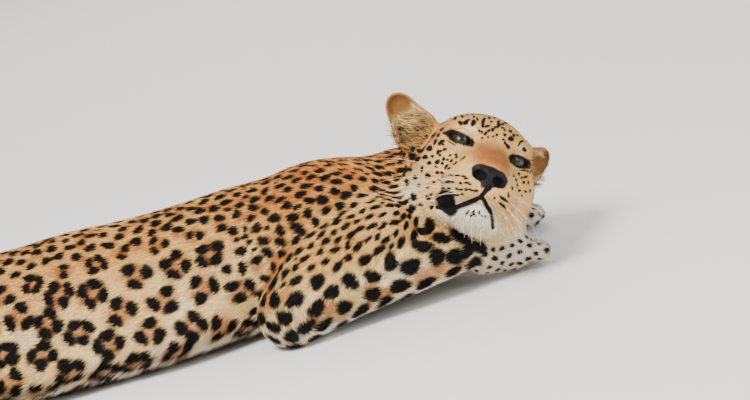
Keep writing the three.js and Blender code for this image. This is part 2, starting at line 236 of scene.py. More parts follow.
class Egg:
    """An ellipsoid, with how softly it melts into what was there before."""

    def __init__(self, centre, radii, blend, axes=WORLD_AXES):
        self.centre = np.asarray(centre, float)
        self.radii = np.asarray(radii, float)
        self.axes = axes
        self.blend = blend
        extent = np.sqrt(((axes * self.radii[:, None]) ** 2).sum(0)) + blend + MARGIN
        self.low = self.centre - extent
        self.high = self.centre + extent

    def distance(self, points):
        q = (points - self.centre) @ self.axes.T
        near = np.sqrt(((q / self.radii) ** 2).sum(-1))
        slope = np.sqrt(((q / self.radii**2) ** 2).sum(-1)) + 1e-6
        return near * (near - 1) / slope


class Limb:
    """A round cone between two points, with a radius at each."""

    def __init__(self, a, b, ra, rb, blend):
        self.a = np.asarray(a, float)
        self.b = np.asarray(b, float)
        self.ra = ra
        self.rb = rb
        self.blend = blend
        self.low = np.minimum(self.a - ra, self.b - rb) - blend - MARGIN
        self.high = np.maximum(self.a + ra, self.b + rb) + blend + MARGIN

    def distance(self, points):
        ab = self.b - self.a
        length2 = ab @ ab
        dr = self.ra - self.rb
        side2 = length2 - dr * dr
        q = points - self.a
        y = q @ ab
        z = y - length2
        x2 = np.maximum((q**2).sum(-1) * length2 * length2 - y * y * length2, 0)
        limit = np.sign(dr) * dr * dr * x2
        far = np.sign(z) * side2 * z * z * length2 > limit
        close = (np.sign(y) * side2 * y * y * length2 < limit) & ~far
        d = (np.sqrt(x2 * side2 / length2) + y * dr) / length2 - self.ra
        d = np.where(far, np.sqrt(x2 + z * z * length2) / length2 - self.rb, d)
        return np.where(close, np.sqrt(x2 + y * y * length2) / length2 - self.ra, d)


def melt(a, b, blend):
    """The smaller of two distances, rounded where they are within the blend of each other."""
    h = np.maximum(blend - np.abs(a - b), 0) / blend
    return np.minimum(a, b) - h * h * blend * 0.25


def v(x, y, z):
    return np.array([x, y, z], float)


TRUNK_WIDTH = 108
TRUNK_DEPTH = 100
TRUNK_CENTRE = 100
trunk = [
    Egg(v(-20, 0, TRUNK_CENTRE), (185, TRUNK_WIDTH + 4, TRUNK_DEPTH), 30),
    Egg(v(-270, 0, TRUNK_CENTRE - 3), (190, TRUNK_WIDTH + 2, TRUNK_DEPTH - 1), 60),
    Egg(v(-490, 0, TRUNK_CENTRE + 6), (140, TRUNK_WIDTH, TRUNK_DEPTH - 2), 60),
    Egg(v(100, 0, TRUNK_CENTRE + 6), (105, TRUNK_WIDTH - 24, TRUNK_DEPTH - 12), 50),
    Limb(v(-500, 0, 148), v(40, 0, 152), 44, 40, 55),
    Egg(v(-330, 0, 52), (190, TRUNK_WIDTH + 32, 54), 40),
    Egg(v(-170, 0, 52), (150, TRUNK_WIDTH + 24, 52), 40),
]
for side in (1, -1):
    trunk.append(Egg(v(75, side * 64, 120), (92, 46, 72), 40, axes_along((1, -side * 0.14, 0))))
NAPE = v(225, 40, 114)
neck = [
    Limb(v(110, 0, 120), NAPE, 82, 68, 50),
    Limb(NAPE, head(-92, 0, -42), 70, 60, 40),
    Limb(v(180, -44, 96), v(262, -52, 112), 42, 40, 30),
]


def paw(heel, tip, radius):
    """A foot that lies flat: its middle and four toes, the outer ones set back."""
    direction = tip - heel
    x, y, z = axes_along(direction)
    masses = [Limb(heel, heel + direction * 0.45, radius, radius - 3, 16)]
    for k in (-1.5, -0.5, 0.5, 1.5):
        knuckle = heel + direction * 0.5 + y * k * 14
        end = tip + y * k * 18 - x * (13 + (abs(k) - 0.5) * 9)
        masses.append(Limb(knuckle, end, 16, 13, 9))
    return masses


FORE = {
    "right": (v(165, -90, 112), v(14, -134, 45), v(256, -97, 66), v(300, -78, 44), v(388, -44, 17)),
    "left": (v(165, 90, 112), v(62, 138, 44), v(285, 134, 31), v(315, 135, 29), v(404, 141, 17)),
}
forelegs = {}
forepaws = {}
for name, (shoulder, elbow, wrist, heel, tip) in FORE.items():
    middle = (shoulder + elbow) / 2 + v(-6, 0, 12)
    forelegs[name] = [
        Limb(shoulder, elbow, 52, 44, 25),
        Egg(middle, (86, 42, 58), 30, axes_along(shoulder - elbow)),
        Limb(elbow, wrist, 44, 37, 20),
    ]
    forepaws[name] = paw(heel, tip, 33)
hindlegs = {}
hindpaws = {}
HIND = {}
for name, side in (("right", -1), ("left", 1)):
    hip = v(-530, side * 62, 122)
    knee = v(-455, side * 116, 90)
    hock = v(-608, side * 124, 36)
    heel = v(-495, side * 142, 28)
    tip = v(-408, side * 146, 16)
    HIND[name] = (hip, knee, hock, heel, tip)
    hindlegs[name] = [Limb(hip, knee, 82, 52, 40), Limb(knee, hock, 44, 28, 25)]
    hindpaws[name] = [Limb(hock, heel, 27, 27, 15)] + paw(heel, tip, 30)

TAIL_POINTS = [
    (-590, 0, 118),
    (-668, 0, 66),
    (-740, 8, 32),
    (-830, 40, 24),
    (-915, 104, 23),
    (-975, 190, 23),
    (-985, 290, 22),
    (-940, 380, 22),
    (-855, 430, 20),
    (-765, 440, 18),
]


def smooth_line(points, count):
    """Points evenly spaced along the smooth curve through the given ones."""
    p = np.array(points, float)
    p = np.vstack([2 * p[0] - p[1], p, 2 * p[-1] - p[-2]])
    fine = []
    for i in range(1, len(p) - 2):
        for t in np.linspace(0, 1, 16, endpoint=False):
            a = 2 * p[i] + (p[i + 1] - p[i - 1]) * t
            b = (2 * p[i - 1] - 5 * p[i] + 4 * p[i + 1] - p[i + 2]) * t * t
            c = (3 * p[i] - p[i - 1] - 3 * p[i + 1] + p[i + 2]) * t**3
            fine.append((a + b + c) / 2)
    fine = np.array(fine + [p[-2]])
    run = np.concatenate([[0], np.cumsum(np.linalg.norm(np.diff(fine, axis=0), axis=1))])
    wanted = np.linspace(0, run[-1], count)
    return np.stack([np.interp(wanted, run, fine[:, k]) for k in range(3)], 1)


TAIL_STEPS = 24
tail_line = smooth_line(TAIL_POINTS, TAIL_STEPS + 1)
tail_share = np.linspace(0, 1, TAIL_STEPS + 1)
tail_radius = 42 + (19 - 42) * np.minimum(1, tail_share * 0.4 + 0.6 * tail_share**0.3)
tail = []
for i in range(TAIL_STEPS):
    tail.append(Limb(tail_line[i], tail_line[i + 1], tail_radius[i], tail_radius[i + 1], 20))

EYE_RADIUS = 17.0
EYE_OUT = math.radians(19)
skull = [
    Egg(head(-66, 0, 0), (76, 75, 60), 30, HEAD_AXES),
    Egg(head(-18, 0, 6), (30, 59, 38), 22, HEAD_AXES),
]
for side in (-1, 1):
    skull.append(Egg(head(-30, side * 55, -38), (46, 31, 36), 25, HEAD_AXES))
    skull.append(Egg(head(-52, side * 55, -76), (45, 33, 42), 30, HEAD_AXES))
    skull.append(Egg(head(10, side * 30, -44), (40, 21, 24), 22, HEAD_AXES))
    skull.append(Limb(head(2, side * 17, 18), head(-16, side * 51, 21), 10, 9, 14))
    skull.append(Limb(head(-10, side * 9, 2), head(58, side * 9, -40), 19, 17, 12))
skull.append(Egg(head(30, 0, -66), (46, 40, 32), 16, HEAD_AXES))
for side in (-1, 1):
    skull.append(Egg(head(42, side * 27, -70), (38, 28, 26), 20, HEAD_AXES))
    skull.append(Limb(head(-40, side * 42, -92), head(28, side * 14 + 4, -108), 30, 18, 22))
skull.append(Egg(head(38, 4, -109), (33, 31, 19), 12, HEAD_AXES))
eyes = {}
for name, side in (("right", -1), ("left", 1)):
    centre = head(-14.7, side * 39.4, -0.5)
    out = FORWARD * math.cos(EYE_OUT) + LEFT * side * math.sin(EYE_OUT)
    across = unit(np.cross(UP, out) + UP * side * 0.2)
    eyes[name] = (centre, np.stack([out, across, np.cross(out, across)]))
    lid = (EYE_RADIUS + 3.2, EYE_RADIUS + 3.2, EYE_RADIUS + 2.6)
    skull.append(Egg(centre, lid, 9, HEAD_AXES))
for side in (-1, 1):
    skull.append(Egg(head(69, side * 13, -54), (16, 14, 13), 5, HEAD_AXES))
skull.append(Limb(head(71, 0, -54), head(74, 0, -72), 14, 7, 5))


EAR_BLEND = 20
EAR_RIM = 3.0


class Pinna:
    """One ear: its outer masses with the cup taken out, open towards its first axis."""

    def __init__(self, outer, cup, blend):
        self.outer = outer
        self.cup = cup
        self.blend = blend
        self.low = np.minimum(outer[0].low, outer[1].low)
        self.high = np.maximum(outer[0].high, outer[1].high)

    def distance(self, points, wall=0.0):
        outside = melt(*[egg.distance(points) for egg in self.outer], EAR_BLEND)
        hollow = melt(*[egg.distance(points) for egg in self.cup], EAR_BLEND)
        return -melt(wall - outside, hollow + wall, EAR_RIM)


EARS = {
    "right": (head(-84, -89, 0), head(-92.5, -145, 43.5), v(1, -0.3, -0.1)),
    "left": (head(-80, 66, 6), head(-118, 103, 50), v(0.55, 0.75, -0.1)),
}
ears = []
ear_axes = {}
for name, (root, tip, opens) in EARS.items():
    t = unit(tip - root)
    n = opens @ HEAD_AXES
    n = unit(n - t * n.dot(t))
    axes = np.stack([n, np.cross(t, n), t])
    ear_axes[name] = (root, axes)
    foot = root + t * 8
    end = tip - t * 28
    outer = [Egg(foot, (20, 33, 30), 12, axes), Egg(end, (13, 22, 28), 20, axes)]
    cup = [Egg(foot + n * 8, (22, 28.5, 25), 12, axes), Egg(end + n * 8, (15, 17.5, 24), 20, axes)]
    ears.append(Pinna(outer, cup, 12))

flesh = trunk + neck
for name in ("left", "right"):
    flesh += forelegs[name] + forepaws[name]
for name in ("right", "left"):
    flesh += hindlegs[name] + hindpaws[name]
flesh += tail + skull + ears

# Cuts in the head: the almond between each pair of lids with the folds over and under it, the
# nostrils, the line of the mouth and the groove above it.
LIPS = [
    (4, -48, -108),
    (20, -38, -109),
    (36, -31, -110),
    (51, -26, -106),
    (61, -17, -99),
    (66, -8, -91),
    (72, 0, -84),
    (71, 6, -86),
    (66, 14, -92),
    (63, 21, -96),
    (60, 27, -105),
    (50, 33, -111),
    (30, 41, -112),
]


def lid_fold(centre, axes, rise):
    """A crease that follows the lid, over the eye or under it."""
    line = []
    for s in np.linspace(-1, 1, 7):
        direction = unit(np.array([1, 1.05 * s, rise * (1 - 0.62 * s * s)]) @ axes)
        line.append(centre + direction * (EYE_RADIUS + 3.6))
    return [Limb(a, b, 1.2, 1.2, 2.5) for a, b in zip(line[:-1], line[1:])]


class Almond:
    """What two flat ellipsoids share, one moved up and the other down across the eye."""

    def __init__(self, centre, axes):
        middle = centre + axes[0] * EYE_RADIUS - axes[2] * 0.8
        self.halves = [Egg(middle + axes[2] * s * 5, (30, 19.5, 8), 3, axes) for s in (1, -1)]
        self.low = self.halves[0].low - 4
        self.high = self.halves[0].high + 4
        self.blend = 2.5

    def distance(self, points):
        return np.maximum(self.halves[0].distance(points), self.halves[1].distance(points))


cuts = [Almond(*eyes[name]) for name in eyes]
for side in (-1, 1):
    cuts.append(Egg(head(83, side * 15, -57), (11, 9, 6.5), 2.5, HEAD_AXES))
for name in eyes:
    cuts += lid_fold(*eyes[name], 0.72) + lid_fold(*eyes[name], -0.66)


FAR = 80.0  # stands for a distance too great to matter


def shape(points, masses=flesh, hollows=()):
    """The signed distance to the masses at any points, below zero inside."""
    d = np.full(len(points), FAR)
    for m in masses:
        inside = ((points > m.low) & (points < m.high)).all(1)
        if inside.any():
            d[inside] = melt(d[inside], m.distance(points[inside]), m.blend)
    for m in hollows:
        inside = ((points > m.low) & (points < m.high)).all(1)
        if inside.any():
            d[inside] = -melt(-d[inside], m.distance(points[inside]), m.blend)
    return d


INNER = head(8, 2, -88)  # a place inside the muzzle, from which the lips are set out


def on_skull(target):
    """The point of the skull's surface in the direction of a target in the head's frame."""
    ray = unit(head(*target) - INNER)
    reach = np.linspace(2, 130, 257)
    d = shape(INNER + reach[:, None] * ray, skull)
    k = int(np.argmax(d > 0))
    return INNER + ray * np.interp(0, (d[k - 1], d[k]), (reach[k - 1], reach[k]))


LIP_RADIUS = 2.4
PHILTRUM_RADIUS = 1.6
lip_line = smooth_line([on_skull(p) for p in LIPS], 31)
for a, b in zip(lip_line[:-1], lip_line[1:]):
    cuts.append(Limb(a, b, LIP_RADIUS, LIP_RADIUS, 4.0))
philtrum = [on_skull(p) for p in ((81, 1, -75), (76, 0, -80), (72, 0, -84))]
for a, b in zip(philtrum[:-1], philtrum[1:]):
    cuts.append(Limb(a, b, PHILTRUM_RADIUS, PHILTRUM_RADIUS, 3.0))


BODY_COAT = 3.6
THINNER_ON_FACE = 2.6
THINNER_ON_EARS = 3.1
THINNER_ON_PAWS = 2.0


def coat_depth(points):
    """How far the skin lies inside the outline of the coat, least on the face and the feet."""
    h = (points - BETWEEN_EYES) @ HEAD_AXES.T
    face = 1 / (1 + np.exp(-(h[:, 0] + 55) / 12))
    face = face * (np.linalg.norm(h + np.array([0, 0, 60]), axis=1) < 190)
    depth = BODY_COAT - THINNER_ON_FACE * face
    near_ear = np.clip(1 - np.maximum(shape(points, ears), 0) / 20, 0, 1)
    depth = np.minimum(depth, BODY_COAT - THINNER_ON_EARS * near_ear)
    for paws in list(forepaws.values()) + list(hindpaws.values()):
        near = np.clip(1 - np.maximum(shape(points, paws), 0) / 30, 0, 1)
        depth = np.minimum(depth, BODY_COAT - THINNER_ON_PAWS * near)
    return depth


# Skin: the surface of those masses, meshed on a grid, finer on the head, and let out or in
# until each point lies on the true surface. It is one hide with no seam, with the lids, lips and
# nose in it.
CELL = 3.6
DRAWN_IN = 3.0
EAR_WALL = 1.5
FLOOR_GAP = 0.2
low = np.array([-1030.0, -200.0, -8.0])
high = np.array([470.0, 480.0, 290.0])
count = np.ceil((high - low) / CELL).astype(int) + 1
ticks = [low[k] + CELL * np.arange(count[k]) for k in range(3)]
grid = np.full(count, FAR, np.float32)


def melt_into_grid(m, sign, **extra):
    """Adds a mass to the grid, or with a sign below zero takes it out."""
    first = np.clip(np.floor((m.low - low) / CELL).astype(int), 0, count)
    last = np.clip(np.ceil((m.high - low) / CELL).astype(int) + 1, 0, count)
    if (last <= first).any():
        return
    block = tuple(slice(a, b) for a, b in zip(first, last))
    points = np.stack(np.meshgrid(*[ticks[k][block[k]] for k in range(3)], indexing="ij"), -1)
    d = m.distance(points, **extra)
    grid[block] = melt(grid[block], d, m.blend) if sign > 0 else -melt(-grid[block], d, m.blend)


for m in flesh[: -len(ears)]:
    melt_into_grid(m, 1)
for m in cuts:
    melt_into_grid(m, -1)
grid += DRAWN_IN
for m in ears:
    melt_into_grid(m, 1, wall=EAR_WALL)
grid = np.maximum(grid, -ticks[2][None, None, :] + FLOOR_GAP).astype(np.float32)
volume = openvdb.FloatGrid()
volume.background = FAR
volume.copyFromArray(grid)
points, _, quads = volume.convertToPolygons(0.0, 0.0)
points = points * CELL + low

skin_bm = bmesh.new()
rows = [skin_bm.verts.new(p) for p in points.tolist()]
for q in quads[:, ::-1].tolist():
    skin_bm.faces.new([rows[i] for i in q])


def refine(inside):
    """Quarters the faces for which the test on their middle holds."""
    chosen = [f for f in skin_bm.faces if inside(f.calc_center_median())]
    edges = list({e for f in chosen for e in f.edges})
    bmesh.ops.subdivide_edges(skin_bm, edges=edges, cuts=1, use_grid_fill=True)
    ragged = [f for f in skin_bm.faces if len(f.verts) > 4]
    bmesh.ops.triangulate(skin_bm, faces=ragged)


head_middle = Vector(head(-30, 0, -30))
face_middle = Vector(head(30, 0, -45))
ear_middles = [Vector(root * 0.5 + tip * 0.5) for root, tip, _ in EARS.values()]
refine(lambda p: (p - head_middle).length < 150 or min((p - e).length for e in ear_middles) < 62)
refine(lambda p: (p - face_middle).length < 92 or min((p - e).length for e in ear_middles) < 48)
skin_mesh = bpy.data.meshes.new("skin")
skin_bm.to_mesh(skin_mesh)
skin_bm.free()
total = len(skin_mesh.vertices)
place = np.empty(total * 3)
skin_mesh.vertices.foreach_get("co", place)
place = place.reshape(-1, 3)


WRINKLED_PLACE = v(62, 110, 156)
WRINKLED_SIZE = v(62, 30, 30)
WRINKLE_FAN = v(-15, 112, 128)
WRINKLE_DEPTH = 1.3


def skin_shape(points):
    """The signed distance to the skin: the masses with their cuts, drawn in by the coat, and the
    soft wrinkles that fan out over each upper arm."""
    near_head = np.linalg.norm(points - head(-30, 0, -30), axis=1) < 200
    d = np.empty(len(points))
    d[~near_head] = shape(points[~near_head])
    d[near_head] = shape(points[near_head], flesh, cuts)
    d = d + coat_depth(points)
    for side in (-1, 1):
        q = points - WRINKLE_FAN * v(1, side, 1)
        fan = np.arctan2(-0.1 * q[:, 0] - side * 0.6 * q[:, 1] + 0.8 * q[:, 2], q[:, 0])
        q = (points - WRINKLED_PLACE * v(1, side, 1)) / WRINKLED_SIZE
        waves = np.sin(40 * fan + 2 * np.sin(points[:, 0] / 17))
        d = d + WRINKLE_DEPTH * np.exp(-(q**2).sum(1)) * waves
    return np.maximum(d, FLOOR_GAP - points[:, 2])


SLOPE_STEP = 0.4


def slope(points, d):
    """How fast the distance to the skin grows each way at some points."""
    made = np.empty_like(points)
    for k in range(3):
        step = np.zeros(3)
        step[k] = SLOPE_STEP
        made[:, k] = (skin_shape(points + step) - d) / SLOPE_STEP
    return made


for _ in range(2):
    d = skin_shape(place)
    g = slope(place, d)
    g2 = np.maximum((g**2).sum(1), 0.3)
    place = place - np.clip(d / g2, -2.5, 2.5)[:, None] * g
normal = g / np.linalg.norm(g, axis=1)[:, None]
skin_mesh.vertices.foreach_set("co", ((place - CENTRE) * MM).ravel())
skin_mesh.polygons.foreach_set("use_smooth", np.ones(len(skin_mesh.polygons), bool))
skin_mesh.update()
skin = linked("skin", skin_mesh)

# Lie of the coat: each part of the body has its own direction in which the hair points, and
# where parts meet the directions run into one another.
NOSE = head(88, 0, -58)
parts = {}
parts["trunk"] = (trunk, lambda p: v(-1, 0, -0.32))
parts["neck"] = (neck, lambda p: unit(NAPE - head(-92, 0, -42)) + v(-0.3, 0, -0.1))
parts["skull"] = (skull, lambda p: p - NOSE)
for name, (shoulder, elbow, wrist, heel, tip) in FORE.items():
    parts["upper arm " + name] = (forelegs[name][:2], lambda p, d=unit(elbow - shoulder): d)
    parts["forearm " + name] = (forelegs[name][2:], lambda p, d=unit(wrist - elbow): d)
    parts["forepaw " + name] = (forepaws[name], lambda p, d=unit(tip - heel): d)
for name, (_, knee, hock, heel, tip) in HIND.items():
    parts["thigh " + name] = (hindlegs[name][:1], lambda p: v(-0.75, 0, -0.6))
    parts["shank " + name] = (hindlegs[name][1:], lambda p, d=unit(hock - knee): d)
    parts["hindpaw " + name] = (hindpaws[name], lambda p, d=unit(tip - heel): d)
for name in EARS:
    parts["ear " + name] = ([ears[list(EARS).index(name)]], lambda p, d=ear_axes[name][1][2]: d)


def along_tail(points):
    nearest = np.argmin(((points[:, None] - tail_line[None, 1:-1]) ** 2).sum(-1), 1) + 1
    return tail_line[nearest + 1] - tail_line[nearest - 1], nearest / TAIL_STEPS


parts["tail"] = (tail, lambda p: along_tail(p)[0])
distances = {name: shape(place, masses) for name, (masses, _) in parts.items()}
nearest = np.min(np.stack(list(distances.values())), 0)
weights = {name: np.exp(-(d - nearest) / 7) for name, d in distances.items()}
total_weight = sum(weights.values())
weights = {name: w / total_weight for name, w in weights.items()}


def laid_flat(direction, outward):
    """Directions turned to lie along the skin, one long."""
    flat = direction - outward * (direction * outward).sum(1)[:, None]
    return flat / np.maximum(np.linalg.norm(flat, axis=1), 1e-6)[:, None]


lie = np.zeros_like(place)
for name, (_, direction) in parts.items():
    d = np.broadcast_to(direction(place), place.shape)
    d = d / np.maximum(np.linalg.norm(d, axis=1), 1e-6)[:, None]
    lie += weights[name][:, None] * d
lie = laid_flat(lie, normal)

# The hair in each ear runs across the cup from its edges.
for ear, (name, (_, axes)) in zip(ears, ear_axes.items()):
    cup = np.abs(shape(place, ear.cup))
    hairy = np.clip(1.6 - cup / 2.5, 0, 1) * weights["ear " + name]
    across = axes[1] * (-1 if name == "right" else 1)
    lie += hairy[:, None] * 2.5 * (across + axes[2] * 0.55)
lie = laid_flat(lie, normal)


def share(*names):
    """How far each point belongs to the parts whose names begin with one of these words."""
    return sum(w for key, w in weights.items() if key.split()[0] in names)


def ramp(low, high, value):
    """0 below the first limit and 1 past the second, with a smooth step between."""
    t = np.clip((value - low) / (high - low), 0, 1)
    return t * t * (3 - 2 * t)


x, y, z = place.T
hx, hy, hz = ((place - BETWEEN_EYES) @ HEAD_AXES.T).T
on_head = share("skull")
on_ear = share("ear")
on_arm = share("upper", "forearm")
on_paw = share("forepaw", "hindpaw")
on_thigh = share("thigh", "shank")
on_tail = share("tail")
tail_run = np.zeros(total)
tailed = on_tail > 0.3
tail_run[tailed] = along_tail(place[tailed])[1]
rng = np.random.default_rng(11)
FULL_TURN = 6.28


def wander(points, scale, seed):
    """Soft noise from -1 to 1, a sum of waves in seeded directions."""
    draw = np.random.default_rng(seed)
    out = np.zeros(len(points))
    for _ in range(7):
        w = draw.normal(size=3) / scale
        out += np.sin(points @ w * 2.2 + draw.uniform(0, FULL_TURN))
    return out / 4


# Ground colours: how pale and how rusty the coat is at each point, and how grey on the feet,
# with painted shade in the crease behind each upper arm. Black and grey here are the hair's own
# colours, from the root to the tip; the brown in each ear is partly the hair's own colour and
# partly painted shade in the cup.
height = z + 8 * wander(place, 60, 1)
pale = 0.22 + 0.52 * ramp(205, 92, height) + 0.24 * ramp(58, 14, height)
pale = pale - 0.22 * ramp(-60, 100, x) * (1 - on_arm) * ramp(60, 130, z)
arm_pale = 0.34 + 0.40 * ramp(125, 60, z) + 0.22 * ramp(50, 14, z) + 0.08 * ramp(60, 250, x)
pale = pale * (1 - on_arm) + on_arm * np.clip(arm_pale, 0, 1)
pale = pale * (1 - on_paw) + on_paw * 0.9
pale = pale * (1 - on_tail) + on_tail * np.clip(0.25 + 0.6 * tail_run + 0.4 * ramp(30, 8, z), 0, 1)
face_pale = 0.34 + 0.14 * ramp(-10, -50, hz)
face_pale += 0.50 * ramp(-48, -100, hz) * ramp(12, -30, hx)
face_pale += 0.24 * ramp(-78, -96, hz) * ramp(-5, 20, hx)
face_pale -= 0.10 * ramp(34, 16, np.abs(hy)) * ramp(0, 30, hx) * ramp(-80, -60, hz)
for side in (-1, 1):
    inner = np.linalg.norm(np.stack([hx - 4, hy - side * 25, hz + 9]), axis=0)
    above = np.linalg.norm(np.stack([hx - 2, hy - side * 38, (hz - 15) * 1.9]), axis=0)
    face_pale += 0.65 * ramp(11, 4, inner) + 0.42 * ramp(20, 7, above)
    below = np.linalg.norm(np.stack([hx - 2, hy - side * 42, (hz + 17) * 1.8]), axis=0)
    face_pale += 0.32 * ramp(20, 8, below)
chin = ramp(-96, -102, hz) * ramp(-12, 8, hx)
face_pale = np.clip(face_pale + 0.25 * chin, 0, 1)
pale = pale * (1 - on_head) + on_head * face_pale
pale = np.clip(pale + 0.10 * wander(place, 22, 2), 0, 1)
bridge = ramp(33, 15, np.abs(hy)) * ramp(2, 46, hx) * ramp(-64, -48, hz) * ramp(10, -14, hz)
rust = on_head * bridge * (0.85 + 0.15 * wander(place, 9, 3))
grey = on_paw * ramp(-50, 100, x)
# Painted shade in the crease where the upper arm meets the trunk: the coat there is made less pale and
# rustier, partly a warmer ground and partly the shade that falls in the crease.
shaded_crease = ramp(0.03, 0.45, share("upper")) * ramp(0.05, 0.4, share("trunk")) * ramp(60, 20, x)
pale = pale - 0.5 * shaded_crease * ramp(190, 150, z)
rust = np.maximum(rust, 0.45 * shaded_crease)

# Bare leather: the nose pad, the rims of the eyes and the lips.
nose_masses = skull[-3:]
nose_depth = shape(place, nose_masses)
nose_pad = ramp(2.2, 0.6, nose_depth) * ramp(56, 60, hx) * ramp(-77, -71, hz)
lip = np.full(total, FAR)
near_head = on_head > 0.2
nose_to_lip = [on_skull((82, 4, -69))] + philtrum
for line, thinner in ((lip_line[:17], -0.4), (lip_line[16:], 0.3), (nose_to_lip, 0.0)):
    for a, b in zip(line[:-1], line[1:]):
        outward = unit((a + b) / 2 - INNER)
        q = place[near_head] - a
        q -= np.clip(q @ (b - a) / ((b - a) @ (b - a)), 0, 1)[:, None] * (b - a)
        sunk = q @ outward
        across = np.sqrt(np.maximum((q**2).sum(1) - sunk**2, 0)) + thinner + FAR * (np.abs(sunk) > 12)
        lip[near_head] = np.minimum(lip[near_head], across)
rim = np.full(total, FAR)
for cut in cuts[:2]:
    rim[near_head] = np.minimum(rim[near_head], cut.distance(place[near_head]))
leather = np.maximum.reduce([nose_pad, ramp(5.2, 3.8, rim), ramp(3.3, 2.5, lip)])
leather = leather * ramp(0.1, 0.4, on_head)
inside_ear = np.zeros(total)
for ear in ears:
    cup = shape(place, ear.cup)
    inside_ear = np.maximum(inside_ear, ramp(3.4, 1.2, np.abs(cup)) * ramp(0.2, 0.5, on_ear))
behind_ear = np.zeros(total)
ear_height = np.zeros(total)
for root, axes in ear_axes.values():
    q = (place - root) @ axes.T
    mine = ramp(0.2, 0.5, share("ear")) * (np.linalg.norm(place - root, axis=1) < 110)
    behind_ear = np.maximum(behind_ear, mine * ramp(1, -5, q[:, 0]) * (1 - inside_ear))
    ear_height = np.maximum(ear_height, mine * np.clip(q[:, 2] / 66, 0, 1))
white_spot = behind_ear * ramp(12, 0, np.abs(ear_height * 66 - 30))
hairy = inside_ear * ramp(0.72, 0.5, ear_height)
pale = pale * (1 - on_ear) + on_ear * (0.3 + 0.6 * white_spot + 0.42 * hairy)
rim_of_ear = on_ear * (1 - inside_ear) * (1 - behind_ear)
rust = np.maximum(rust, rim_of_ear * 0.85)
# Brown inside each ear cup, towards its tip and its foot: partly the hair's own brown and partly painted
# shade in the hollow of the cup.
brown = inside_ear * (0.12 + 0.66 * ramp(0.45, 0.75, ear_height) + 0.4 * ramp(0.25, 0.05, ear_height))

# Spots: seeds spread over the skin at the spacing that each part of the coat has, each one a
# solid spot or a ring of blots round a warm centre.
high_back = ramp(140, 194, z)
front = ramp(-85, 5, x)
pitch = 46 - 20 * high_back - 8 * front
ringed = ((1 - ramp(0.66, 0.98, high_back)) * (1 - front) > 0.45) & (shaded_crease < 0.3)
pitch = np.where(ringed, pitch, 20 + 9 * ramp(75, 40, z) * (1 - front))
neck_share = share("neck")
pitch = np.where(neck_share > 0.4, 17, pitch)
arm_spot = share("forearm")
wrinkled = share("upper") * ramp(85, 115, z)
pitch = np.where(on_arm > 0.5, 27 + 4 * arm_spot - 12 * wrinkled, pitch)
pitch = np.where(on_thigh > 0.5, 33, pitch)
pitch = np.where(on_paw > 0.5, 15, pitch)
pitch = np.where(on_tail > 0.5, 27, pitch)
face_pitch = 7.5 + 3.5 * ramp(10, -30, hz) + 5 * ramp(-50, -90, hz) + 6 * ramp(-40, -90, hx)
pitch = np.where(on_head > 0.5, face_pitch, pitch)
eye_away = np.min([np.linalg.norm(place - c, axis=1) for c, _ in eyes.values()], 0)
bare_of_spots = (on_head > 0.5) & (
    (eye_away < 29)
    | ((np.abs(hy) < 27) & (hx > 2) & (hz < 8))
    | ((hx > 22) & (hz < -38))
    | ((hz < -92) & (hx > -20))
)
bare_of_spots |= (on_ear > 0.4) | (leather > 0.2)
face_seen = (on_head > 0.4) & (normal @ toward > 0.12) & (hx > -78)
bare_of_spots |= face_seen

CELL_OF_SPOTS = 20.0


class Cells:
    """Points sorted into cubes, to gather quickly those near a place."""

    def __init__(self, points):
        self.points = points
        keys = np.floor(points / CELL_OF_SPOTS).astype(np.int64) + 512
        code = (keys[:, 0] << 40) + (keys[:, 1] << 20) + keys[:, 2]
        self.order = np.argsort(code, kind="stable")
        cells, starts, counts = np.unique(code[self.order], return_index=True, return_counts=True)
        self.where = {int(c): (int(s), int(s + n)) for c, s, n in zip(cells, starts, counts)}

    def near(self, centre, reach):
        a = np.floor((centre - reach) / CELL_OF_SPOTS).astype(int) + 512
        b = np.floor((centre + reach) / CELL_OF_SPOTS).astype(int) + 513
        found = []
        for i in range(a[0], b[0]):
            for j in range(a[1], b[1]):
                for k in range(a[2], b[2]):
                    run = self.where.get((i << 40) + (j << 20) + k)
                    if run:
                        found.append(self.order[run[0] : run[1]])
        return np.concatenate(found) if found else np.zeros(0, int)


on_skin = Cells(place)
RING_CLOSEST, SPOT_CLOSEST = 0.78, 0.80
RING_STRETCH, SPOT_STRETCH = 1.30, 1.15
closest = np.where(ringed | (on_arm > 0.5), RING_CLOSEST, SPOT_CLOSEST) * pitch
stretch = np.where(ringed, RING_STRETCH, SPOT_STRETCH)
taken = bare_of_spots | (z < 4)
seeds = []


def flat_distance(i, around):
    """Squared distances along the skin from a vertex, the long way of its spots counting less."""
    q = place[around] - place[i]
    run = q @ lie[i]
    return (q**2).sum(1) - run**2 + (run / stretch[i]) ** 2


for i in rng.permutation(total):
    if taken[i]:
        continue
    seeds.append(i)
    around = on_skin.near(place[i], pitch[i])
    taken[around[flat_distance(i, around) < closest[i] ** 2]] = True

# Each seed then moves to the middle of the skin that is nearest to it, which spaces them evenly.
SETTLING_TURNS = 3
FARTHEST = 1.4
for _ in range(SETTLING_TURNS):
    away = np.full(total, FARTHEST)
    owner = np.full(total, -1)
    for k, i in enumerate(seeds):
        around = on_skin.near(place[i], pitch[i] * 1.25)
        flat = flat_distance(i, around) / pitch[i] ** 2
        closer = flat < away[around]
        away[around[closer]] = flat[closer]
        owner[around[closer]] = k
    owned = (owner >= 0) & ~bare_of_spots & (z > 2)
    share_of = np.bincount(owner[owned], minlength=len(seeds))
    middle = np.stack([np.bincount(owner[owned], place[owned, k], len(seeds)) for k in range(3)], 1)
    middle /= np.maximum(share_of, 1)[:, None]
    for k in range(len(seeds)):
        around = on_skin.near(middle[k], 12)
        if share_of[k] and len(around):
            seeds[k] = around[np.argmin(((place[around] - middle[k]) ** 2).sum(1))]

